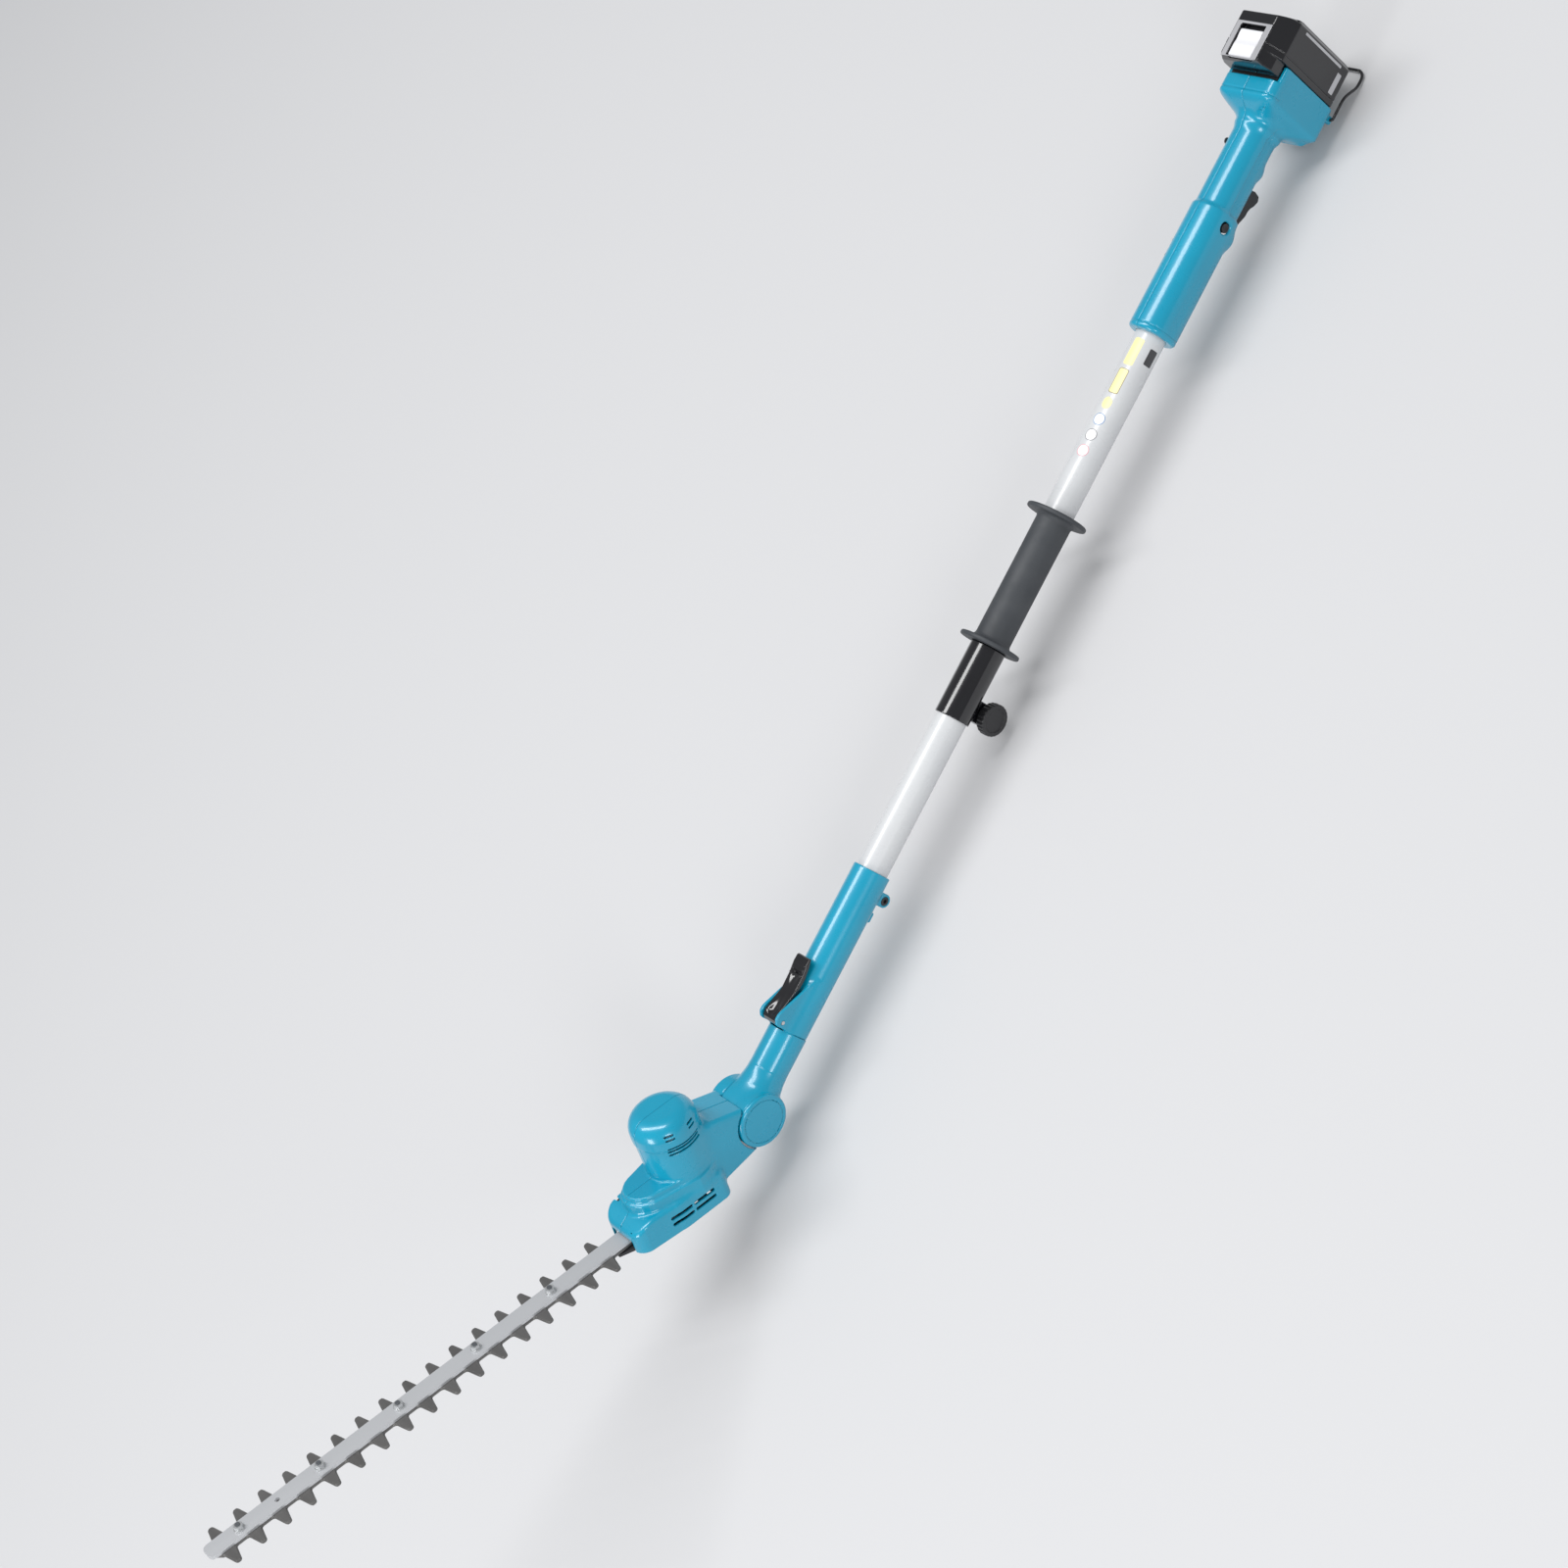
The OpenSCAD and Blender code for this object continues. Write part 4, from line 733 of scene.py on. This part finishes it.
# %% Grip profile
grip_low, grip_high = box_mm("grip_rubber")
stop_r = grip_high[1]
tube_r = stop_r - 13.2
left = grip_low[0]
grip_profile = [(left + 0.4, 17.2), (left + 0.4, 19), (left + 0.3, 24)]
grip_profile += arc((left + 1.9, stop_r - 1.6), 1.6, 180, 90) + arc((left + 3.1, stop_r - 1.6), 1.6, 90, 0)
grip_profile += arc((left + 10.2, tube_r + 5.5), 5.5, 180, 270, 8)
half_way = (grip_low[0] + grip_high[0]) / 2
grip_profile += [(left + 20, tube_r), (half_way - 20, tube_r - 0.1), (half_way, tube_r - 0.1)]
grip_profile += [(2 * half_way - x, r) for x, r in reversed(grip_profile[:-1])]
stand_for(lathe("grip_sleeve", grip_profile), "front_grip", grip_rubber, "grip_rubber")

# %% Clamp sleeve
sleeve_low, sleeve_high = box_mm("clamp_sleeve")
knob_at = np.array(joint["clamp_knob_turn"]["pos_m"]) / MM


def hexagon(p, at, half):
    """A nut's outline round the Y line through a point; half is half its width across flats."""
    u, w = np.abs(p[:, 0] - at[0]), np.abs(p[:, 2] - at[2])
    return np.maximum(w, u * 0.866 + w * 0.5) - half


def clamp_field(p):
    tube = turned(p, (0, 0, 0), 0, 18.1, grip_high[0], sleeve_high[0], 0.8)
    lug = turned(p, knob_at, 1, 11, -7, 7, 1.2)
    block = slab(p, (knob_at[0] - 11, -7, knob_at[2]), (knob_at[0] + 11, 7, -12), 1.2)
    tube = join(tube, np.minimum(lug, block), 5)
    tube = np.minimum(tube, turned(p, (0, 0, 0), 0, 17.1, sleeve_low[0], grip_high[0] + 2))
    bore = turned(p, (0, 0, 0), 0, POLE_BORE, sleeve_low[0] - 5, sleeve_high[0] + 5)
    screw = turned(p, knob_at, 1, 3.05, -9, 9)
    slit = slab(p, (knob_at[0] - 20, -1, -60), (sleeve_high[0] + 5, 1, 0))
    nut_pocket = keep(hexagon(p, knob_at, 5.3), p[:, 1] + 4)
    return cut(tube, union(bore, screw, slit, nut_pocket), 0.4)


cast("clamp_tube", clamp_field, "front_grip", gloss_black, "clamp_sleeve", 0.9)


# %% Fluted knob
def knob_field(p):
    low, high = box_mm("clamp_knob")
    u, w = p[:, 0] - knob_at[0], p[:, 2] - knob_at[2]
    radius, angle = np.hypot(u, w), np.arctan2(w, u)
    pitch = 2 * math.pi / 24
    angle = (angle + pitch / 2) % pitch - pitch / 2
    body = turned(p, knob_at, 1, 16.5, low[1] + 1.6, high[1], 1.6)
    flute = np.hypot(radius * np.cos(angle) - 17.2, radius * np.sin(angle)) - 1.4
    body = cut(body, flute, 0.5)
    face = rounded(radius - 12, high[1] - 1.1 - p[:, 1], 0.5)
    body = cut(body, face, 0.6)
    body = join(body, turned(p, knob_at, 1, 7, low[1], low[1] + 4, 0.3), 1)
    return cut(body, turned(p, knob_at, 1, 3.05, -9, high[1] - 2.6))


cast("clamp_wheel", knob_field, "clamp_knob", satin_black, "clamp_knob", 0.6)

# %% [markdown]
# # Lower sleeve and latch
# The lower sleeve is pinched on to the pole's end by a bolt through a split boss. Two cheeks hold the
# latch lever's pin. The lever is gloss black, with three ribs for the thumb and a scooped back.

# %% Stations of the sleeve
low_end, seam = box_mm("lower_sleeve")[0][0], box_mm("lower_sleeve")[1][0]
bolt = (box_mm("pinch_bolt")[0] + box_mm("pinch_bolt")[1]) / 2
lever_at = np.array(joint["latch_lever_lift"]["pos_m"]) / MM
cheek_side = [(seam + a, z) for a, z in ((-56, 11), (-50, 15.5), (-14, 33.6), (-11, 34.6), (-6, 34.6),
                                         (-1.5, 31), (-0.6, 28), (-0.4, 8), (-56, 8))]


def sleeve_field(p):
    tube = turned(p, (0, 0, 0), 0, 19.15, low_end, seam, 0.9)
    mirrored = p.copy()
    mirrored[:, 1] = np.abs(mirrored[:, 1])
    cheek = prism(mirrored, (0, 2), cheek_side, 10.5, 14, 1.0)
    tube = join(tube, cheek, 5)
    boss = turned(p, bolt, 1, 7, -9, 9, 1)
    neck_block = slab(p, (bolt[0] - 7, -9, bolt[2]), (bolt[0] + 7, 9, -12), 1)
    tube = join(tube, np.minimum(boss, neck_block), 3)
    strap = slab(p, (bolt[0] + 15, -5, -26), (bolt[0] + 26, 5, -12), 2)
    tube = join(tube, strap, 2.5)
    bore = turned(p, (0, 0, 0), 0, POLE_BORE, low_end - 5, seam + 5)
    hole = turned(p, bolt, 1, 2.55, -12, 12)
    socket = turned(p, bolt, 1, 4.6, 6, 12)
    socket = np.minimum(socket, keep(hexagon(p, bolt, 4.3), p[:, 1] + 5.6))
    slit = slab(p, (low_end - 5, -1, -60), (bolt[0] + 9, 1, 0))
    window = slab(p, (seam - 28, -10.5, 6), (seam - 2, 10.5, 60), 1.5)
    shelf = slab(p, (seam - 57, -10.5, 19.15), (seam - 27, 10.5, 60))
    pin = turned(p, lever_at, 1, PIN_HOLE, -20, 20)
    return cut(tube, union(bore, hole, socket, slit, window, shelf, pin), 0.5)


cast("sleeve_shell", sleeve_field, "pole", teal, "lower_sleeve", 0.9)

# %% Latch lever
pad_top = box_mm("latch_lever")[1][2]
lever_side = [(lever_at[0] + a, lever_at[2] + b) for a, b in (
    (4.5, 3), (2, 6.5), (-4, 8), (-16, 4.5), (-30, 1.2), (-46, 1.8), (-58, 3.8), (-65, 3.4),
    (-66.6, 1.6), (-58, -1.2), (-46, -3.4), (-30, -3.6), (-14, -4), (-4, -4.5), (-3.6, -13),
    (0.6, -13), (1, -4.6), (4.5, -3))]


def lever_field(p):
    body = prism(p, (0, 2), lever_side, -10, 10, 1.0)
    # the channel between the thumb pad and the pivot
    channel = capsule(p, (lever_at[0] - 8, 0, lever_at[2] + 14.5),
                      (lever_at[0] - 44, 0, lever_at[2] + 10.5), 10)
    body = cut(body, channel, 1.0)
    for x in (-47, -52, -57):
        rib = capsule(p, (lever_at[0] + x, -7.4, lever_at[2] + 2.6),
                      (lever_at[0] + x, 7.4, lever_at[2] + 2.6), 1.3)
        body = join(body, keep(rib, p[:, 2] - pad_top), 0.5)
    return cut(body, turned(p, lever_at, 1, PIN_HOLE, -20, 20))


cast("lever_shell", lever_field, "latch_lever", gloss_black, "latch_lever", 0.55)

# %% [markdown]
# # Neck and hinge
# The neck carries the near half of the hinge's hub. It swells from a tube to a drum, and a smooth
# cap closes the drum's outer face.

# %% Neck
split = -12              # y where the near half of the hub ends and the far half starts


def neck_field(p):
    tube = turned(p, (0, 0, 0), 0, 19.65, seam + 0.2, hub[0] - 8, 0.8)
    t = np.clip((p[:, 0] - (hub[0] - 44)) / 26, 0, 1)
    swell = np.hypot(p[:, 1], p[:, 2]) - 19.65 - 3.4 * t * t * (3 - 2 * t)
    swell = keep(swell, span(p, hub[0] - 44, hub[0] - 6))
    drum = turned(p, hub, 1, HUB_R, split - 3, 24.4, 0.5)
    skin = join(join(tube, swell, 1), drum, 6)
    skin = np.minimum(skin, turned(p, (0, 0, 0), 0, 16, seam - 24, seam + 3, 0.5))
    bore = turned(p, (0, 0, 0), 0, 13.85, seam - 30, hub[0] - 24)
    drum_room = turned(p, hub, 1, 24, split + 4, 60)
    drum_bore = turned(p, hub, 1, 14.05, -60, 0)
    passage = slab(p, (hub[0] - 32, -7.5, -7.5), (hub[0] - 10, 17.4, 7.5))
    finger = slab(p, (seam - 25, -10.6, -4), (seam + 1, 10.6, 40))
    clear = turned(p, hub, 1, 29.1, -60, split)
    room = union(bore, drum_room, drum_bore, passage, finger)
    return cut(np.maximum(skin, -clear), room, 0.3)


cast("neck_shell", neck_field, "pole", teal, "neck", 0.9)


# %% Hub cap
def cap_field(p):
    low, high = box_mm("hub_cap")
    disc = turned(p, hub, 1, HUB_R, high[1] - 3.5 - 3, high[1], 2.8)
    disc = keep(disc, high[1] - 3.5 - p[:, 1])
    ring = np.abs(np.hypot(p[:, 0] - hub[0], p[:, 2] - hub[2]) - 22.4) - 0.35
    disc = cut(disc, keep(ring, high[1] - 0.5 - p[:, 1]), 0.3)
    skirt = cut(turned(p, hub, 1, 23.9, low[1], high[1] - 3),
                turned(p, hub, 1, 21.5, low[1] - 2, high[1] - 3.5))
    return np.minimum(disc, skirt)


cast("cap_shell", cap_field, "pole", teal, "hub_cap", 0.7)

# %% [markdown]
# # Cutting head
# The head is two moulded halves. The far half of the hub carries an arm that widens into the motor
# housing: a domed barrel on a stepped plinth, over a flat gear housing whose nose the blade leaves.
# Rows of slots let the cooling air through.

# %% Plans of the head
can_low, can_high = head_box("motor_can")
motor_x = (can_low[0] + can_high[0]) / 2
shell_low, shell_high = head_box("head_left")
nose_x, base_low, dome_top = shell_high[0], shell_low[2], shell_high[2]


def base_plan(d):
    return (arc((motor_x - 18, 24), 10 - d, 180, 90) + arc((motor_x + 26, -6), 40 - d, 90, 76)
            + arc((nose_x - 15, 15), 15 - d, 76, 0) + arc((nose_x - 15, -15), 15 - d, 0, -76)
            + arc((motor_x + 26, 6), 40 - d, -76, -90) + arc((motor_x - 18, -24), 10 - d, -90, -180))


def plinth_plan(d):
    return arc((motor_x, 0), 35 - d, 270, 90, 16) + arc((nose_x - 40, 0), 25 - d, 76, -76, 10)


arm_side = [(4, 22.5), (motor_x - 30, 37), (motor_x - 12, 37), (motor_x - 12, -37),
            (motor_x - 30, -33.5), (4, -25)]


# %% Head field
def head_skin(p):
    far_hub = turned(p, (0, 0, 0), 1, HUB_R, -28, -12.6, 2.6)
    drawn_in = [(a - math.copysign(3, a - 40), b - math.copysign(5, b)) for a, b in arm_side]
    arm = prism(p, (0, 2), drawn_in, -26.5, 26, 5.5, 5)
    z = p[:, 2]
    t = np.clip((45.5 - z) / 3.5, 0, 1)
    narrow = 1.3 * t * t * (3 - 2 * t) + 0.02 * np.clip(42 - z, 0, 40)
    radial = np.hypot(p[:, 0] - motor_x, p[:, 1]) - 34 + narrow
    barrel = rounded(radial, np.abs(z - (dome_top - 38) / 2) - (dome_top + 38) / 2, 17)
    skin = join(barrel, arm, 7)
    lower = prism(p, (0, 1), plinth_plan(1.5), -20, -1.0, 2, 1.5)
    upper = prism(p, (0, 1), plinth_plan(5), -20, 5, 2.2, 1.5)
    skin = join(join(skin, lower, 2), upper, 2.5)
    base = prism(p, (0, 1), base_plan(3), base_low - 8, -12, 4.5, 3)
    slope_down = (p[:, 0] - (nose_x - 17)) * 0.5 + (z + 12) * 0.866
    base = keep(base, slope_down, 4)
    skin = join(skin, base, 4)
    skin = keep(skin, base_low - z, 1)
    hollow = turned(p, (0, 0, 0), 1, 29.3, -12.6, 80)
    skin = cut(skin, hollow, 1)
    return join(skin, far_hub, 1.5)


def head_room(p, skin):
    inside = keep(skin + 2.6, 26 - p[:, 0])
    under = prism(p, (0, 1), base_plan(3), -90, -21)
    hub_room = turned(p, (0, 0, 0), 1, 24, -25, 0)
    passage = slab(p, (2, -23.5, -20), (motor_x, -15, 20))
    mouth_slot = slab(p, (nose_x - 20, -17, -90), (nose_x + 5, 17, -30), 2)
    room = union(inside, under, hub_room, passage, mouth_slot)
    # rows of slots: starts along x, length, depth in y, heights, half height, corner
    rows = (((-10, 17), 25, 22, (-24.5, -32), 1.8, 1.7),
            ((-18,), 36, 20, (37, 41, 45), 1, 0.9),
            ((-17, 8), 9, 18, (55, 59), 1, 0.9))
    q = np.stack([p[:, 0], np.abs(p[:, 1]), p[:, 2]], 1)
    for starts, length, depth, heights, half, corner in rows:
        for z in heights:
            for x in starts:
                opening = slab(q, (motor_x + x, depth, z - half),
                               (motor_x + x + length, 60, z + half), corner)
                room = np.minimum(room, opening)
    return room


def head_half(side):
    def field(p):
        skin = head_skin(p)
        shell = cut(skin, head_room(p, skin), 0.5)
        for x, z, depth in ((motor_x + 62, -16, 22), (38, 24, 20), (40, -26, 20)):
            post = cut(keep(turned(p, (x, 0, z), 1, 4.2, -60, 60), skin + 0.5),
                       turned(p, (x, 0, z), 1, 1.7, -60, 60))
            well = turned(p, (x, 0, z), 1, 3.4, -60, -depth)
            shell = cut(np.minimum(shell, post), well, 0.4)
        return keep(shell, 0.07 - side * p[:, 1], 0.8)
    return field


# %% Mould the two halves of the head
for side, name in ((1, "head_left"), (-1, "head_right")):
    low, high = head_box(name)
    half = mould(name + "_shell", head_half(side), low - 1.5, high + 1.5, 1.0, HEAD)
    stand_for(half, "head", teal, name)

# %% [markdown]
# # Blade
# Two toothed blades slide against each other under a bright guide bar. A tooth is cut from sheet and
# then ground: the flat keeps its dark heat-treated colour and the ground bevel is bright. The cutting
# edge is where the two blades touch, so the bevels face away from each other.

# %% A plate with a ground edge
def inset(points, d):
    out, n = [], len(points)
    for i in range(n):
        a, b, c = (np.array(points[(i + k) % n], float) for k in (-1, 0, 1))
        e1, e2 = (b - a) / np.linalg.norm(b - a), (c - b) / np.linalg.norm(c - b)
        n1, n2 = np.array([-e1[1], e1[0]]), np.array([-e2[1], e2[0]])
        m = (n1 + n2) / max(np.linalg.norm(n1 + n2), 1e-6)
        out.append(tuple(b + m * d / max(m @ n1, 0.5)))
    return out


def fill(loops):
    """Triangles of a flat region: the first loop is its edge, the others are holes."""
    points, edges = [], []
    for loop in loops:
        start = len(points)
        points += [Vector(p) for p in loop]
        edges += [(start + i, start + (i + 1) % len(loop)) for i in range(len(loop))]
    points, _, faces, *_ = delaunay_2d_cdt(points, edges, [], 0, 1e-6)
    kept = []
    for face in faces:
        centre = sum((points[i] for i in face), Vector((0, 0))) / len(face)
        inside = [float(outline(np.array([centre.x]), np.array([centre.y]), loop)[0]) < 0
                  for loop in loops]
        if inside[0] and not any(inside[1:]):
            kept.append(list(face))
    return [(p.x, p.y) for p in points], kept


def plate(name, edge, holes, low, high, grind, wall, up=1):
    """Full outline on the side that touches, drawn in by the grind on the other side."""
    touch, far = (low, high) if up > 0 else (high, low)
    rings = [[edge] + holes, [edge] + holes, [inset(edge, grind)] + holes]
    heights = [touch, touch + (far - touch) * wall, far]
    points, marks = [], []
    for loops, z in zip(rings, heights):
        marks.append(len(points))
        points += [(x, y, z) for loop in loops for x, y in loop]
    faces, kinds = [], []
    for level in (0, 2):
        flat, triangles = fill(rings[level])
        faces += [[len(points) + i for i in face] for face in triangles]
        kinds += [0] * len(triangles)
        points += [(x, y, heights[level]) for x, y in flat]
    for k in (0, 1):
        start = 0
        for number, loop in enumerate(rings[0]):
            for i in range(len(loop)):
                j = (i + 1) % len(loop)
                a, b = marks[k] + start + i, marks[k] + start + j
                c, d = marks[k + 1] + start + j, marks[k + 1] + start + i
                faces.append([a, b, c, d])
                kinds.append(1 if number == 0 else 0)
            start += len(loop)
    piece = mesh_object(name, points, faces, HEAD)
    piece.data.polygons.foreach_set("use_smooth", [False] * len(faces))
    piece.data.polygons.foreach_set("material_index", kinds)
    print(f"{name}: {len(faces)} faces")
    return face_outward(piece, weld=0.00001)


# %% Outline of the teeth
first_tooth, pitch, count = nose_x + 27, 27, 17
reach, bar_w = 28.5, 20
last_tooth = first_tooth + pitch * (count - 1)
crank_x = 110


def teeth(side):
    points = []
    for i in range(count):
        k = i if side < 0 else count - 1 - i
        x, d = first_tooth + k * pitch, (1 if side < 0 else -1)
        y = side * bar_w / 2
        run = [(-9.4, 0.5 * side + y), (-7.8, 1.0 * side + y), (-6.6, 2.6 * side + y),
               (-3.3, side * (reach - 1.9)), (-2.6, side * (reach - 0.6)), (-1.4, side * reach)]
        points += [(x + d * a, b) for a, b in run] + [(x - d * a, b) for a, b in reversed(run)]
    return points


window_x, window_y = 17.1, 12.1
yoke_x, yoke_y = window_x + 4.5, window_y + 4.5
nose = last_tooth + 9
blade_edge = ([(crank_x + yoke_x, -9), (crank_x + yoke_x, -yoke_y), (crank_x - yoke_x, -yoke_y)][::-1]
              + teeth(-1) + [(nose, -10.4), (nose + 4, -6), (nose + 5, -2),
                             (nose + 5, 2), (nose + 4, 6), (nose, 10.4)]
              + teeth(1) + [(crank_x + yoke_x, 9), (crank_x + yoke_x, yoke_y),
                            (crank_x - yoke_x, yoke_y)])
screw_step = (last_tooth - 18 - first_tooth - 60) / 4
screw_xs = [last_tooth - 18 - i * screw_step for i in range(5)]
hole_x = last_tooth - 59


def slot(x, r):
    return (arc((x + 5, 0), r, -90, 90, 8) + arc((x - 5, 0), r, 90, 270, 8))[::-1]


blade_holes = [[(crank_x - window_x, -window_y), (crank_x - window_x, window_y),
                (crank_x + window_x, window_y), (crank_x + window_x, -window_y)]]
bolt_xs = [crank_x + 35, crank_x + 49]
blade_holes += [slot(x, 3.8) for x in screw_xs] + [slot(x, 3.6) for x in bolt_xs]
blade_holes += [slot(hole_x, 3.0)]

# %% Cut the blades and the bar
for name, up in (("upper_blade", 1), ("lower_blade", -1)):
    low, high = head_box(name)
    blade = plate(name + "_steel", blade_edge, blade_holes, low[2], high[2], 1.15, 0.18, up)
    stand_for(blade, name, tooth_steel, name)
    blade.data.materials.append(ground_steel)
bar_end = bar_high[0]
bar_edge = [(bar_low[0], -10), (bar_end - 5, -10), (bar_end - 1.5, -8.5), (bar_end, -5), (bar_end, 5),
            (bar_end - 1.5, 8.5), (bar_end - 5, 10), (bar_low[0], 10)]
bar_holes = [arc((x, 0), 2.55, 360, 15, 24) for x in screw_xs + bolt_xs]
bar_holes.append(arc((hole_x, 0), 2.5, 360, 15, 24))
bar = plate("guide_bar_steel", bar_edge, bar_holes, bar_low[2], bar_high[2], 0.5, 0.8)
stand_for(bar, "head", bright_steel, "guide_bar")
bar.data.materials.append(bright_steel)

# %% [markdown]
# # Plain labels
# Between the handle and the grip the pole carries a row of thin printed labels. They are left plain
# here: a pale yellow sheet with a framed one after it, three ringed discs, and a small dark plate.

# %% A thin curved patch on the pole
def label(name, start, end, middle, half, corner, colour, lift=0.06):
    """Rounded rectangle from start to end along the pole; middle and half are degrees round it."""
    radius, rows, cols = 16 + lift, 24, 12
    points, faces = [], []
    for i in range(rows + 1):
        x = start + (end - start) * i / rows
        near = min(x - start, end - x)
        trim = corner - math.sqrt(max(corner ** 2 - (corner - min(near, corner)) ** 2, 0))
        reach_here = math.radians(half) - trim / radius
        for j in range(cols + 1):
            a = math.radians(middle) + reach_here * (2 * j / cols - 1)
            points.append((x, radius * math.cos(a), radius * math.sin(a)))
    for i in range(rows):
        for j in range(cols):
            a = i * (cols + 1) + j
            faces.append([a, a + 1, a + cols + 2, a + cols + 1])
    patch = mesh_object(name, points, faces)
    paper = finish(name + "_print", colour, tuple(c * 0.94 for c in colour), (0.3, 0.42), 1500, 0.000004)
    return stand_for(patch, "pole", paper)


# %% Stick them on
YELLOW, DARK, WHITE = (0.88, 0.8, 0.4), (0.05, 0.05, 0.055), (0.86, 0.86, 0.87)
label("label_sheet", mouth + 8, mouth + 37, 76, 20, 2, YELLOW)
label("label_frame", mouth + 41, mouth + 68, 76, 20, 2, (0.3, 0.25, 0.16))
label("label_framed", mouth + 41.7, mouth + 67.3, 76, 17.5, 1.5, YELLOW, 0.1)
label("label_pad", mouth + 72, mouth + 85, 76, 18, 5.6, YELLOW)
for number, ring in enumerate(((0.1, 0.25, 0.5), (0.16, 0.16, 0.17), (0.72, 0.3, 0.35))):
    at = mouth + 96 + 17 * number
    label(f"label_ring_{number}", at - 6.2, at + 6.2, 74, 22.2, 6.2, ring)
    label(f"label_disc_{number}", at - 5.5, at + 5.5, 74, 19.7, 5.5, WHITE, 0.1)
label("label_plate", mouth + 13, mouth + 30, 8, 17, 1, DARK)

# %% [markdown]
# # The studio
# The tool lies in front of a pale floor and is seen from above its left side, with the pole running
# away up the picture. The light is soft: three panels and a bright surround, which is dimmer for
# reflections than for plain light, so that gloss and steel keep their depth.

# %% Camera
RIGHT = Vector((-0.46315, 0.60353, -0.64904))
UP = Vector((-0.88623, -0.30757, 0.34640))
BACK = Vector((0.00944, 0.73563, 0.67732))
camera = bpy.data.objects.new("camera", bpy.data.cameras.new("camera"))
bpy.context.scene.collection.objects.link(camera)
camera.matrix_world = Matrix((
    (RIGHT.x, UP.x, BACK.x, 0.07495),
    (RIGHT.y, UP.y, BACK.y, 2.00058),
    (RIGHT.z, UP.z, BACK.z, 1.99750),
    (0, 0, 0, 1)))
camera.data.lens = 67.02
camera.data.clip_end = 100
bpy.context.scene.camera = camera
bpy.context.scene.view_settings.view_transform = "Standard"

# %% Floor
floor_z = cad_box[0][2] - 0.002
bm = bmesh.new()
bmesh.ops.create_grid(bm, x_segments=8, y_segments=8, size=9)
floor_mesh = bpy.data.meshes.new("floor")
bm.to_mesh(floor_mesh)
bm.free()
floor = bpy.data.objects.new("floor", floor_mesh)
floor.location = (0, 0, floor_z)
bpy.context.scene.collection.objects.link(floor)
floor_paint = bpy.data.materials.new("floor_paint")
floor_paint.use_nodes = True
floor_paint.node_tree.nodes["Principled BSDF"].inputs["Base Color"].default_value = (0.56, 0.56, 0.57, 1)
floor_paint.node_tree.nodes["Principled BSDF"].inputs["Roughness"].default_value = 0.9
floor_mesh.materials.append(floor_paint)


# %% Lights
def panel(name, place, aim, width, height, power):
    lamp = bpy.data.lights.new(name, "AREA")
    lamp.shape, lamp.size, lamp.size_y, lamp.energy = "RECTANGLE", width, height, power
    thing = bpy.data.objects.new(name, lamp)
    thing.location = place
    thing.rotation_euler = (Vector(aim) - Vector(place)).to_track_quat("-Z", "Y").to_euler()
    bpy.context.scene.collection.objects.link(thing)


panel("key_panel", (-0.7, -0.6, 4.6), (0.0, 0.0, 0.0), 5.0, 1.1, 175)
panel("left_panel", (0.9, 3.0, 1.5), (0.1, 0.0, 0.0), 0.9, 0.9, 26)
panel("nose_panel", (3.2, 0.6, 1.6), (0.2, 0.0, 0.1), 0.8, 1.6, 40)
world = bpy.data.worlds.new("surround")
world.use_nodes = True
sky = world.node_tree
sky.nodes["Background"].inputs["Color"].default_value = (0.96, 0.98, 1.0, 1)
ray = sky.nodes.new("ShaderNodeLightPath")
dim = sky.nodes.new("ShaderNodeMapRange")
dim.inputs["To Min"].default_value, dim.inputs["To Max"].default_value = 0.55, 0.3
sky.links.new(ray.outputs["Is Glossy Ray"], dim.inputs["Value"])
sky.links.new(dim.outputs["Result"], sky.nodes["Background"].inputs["Strength"])
bpy.context.scene.world = world
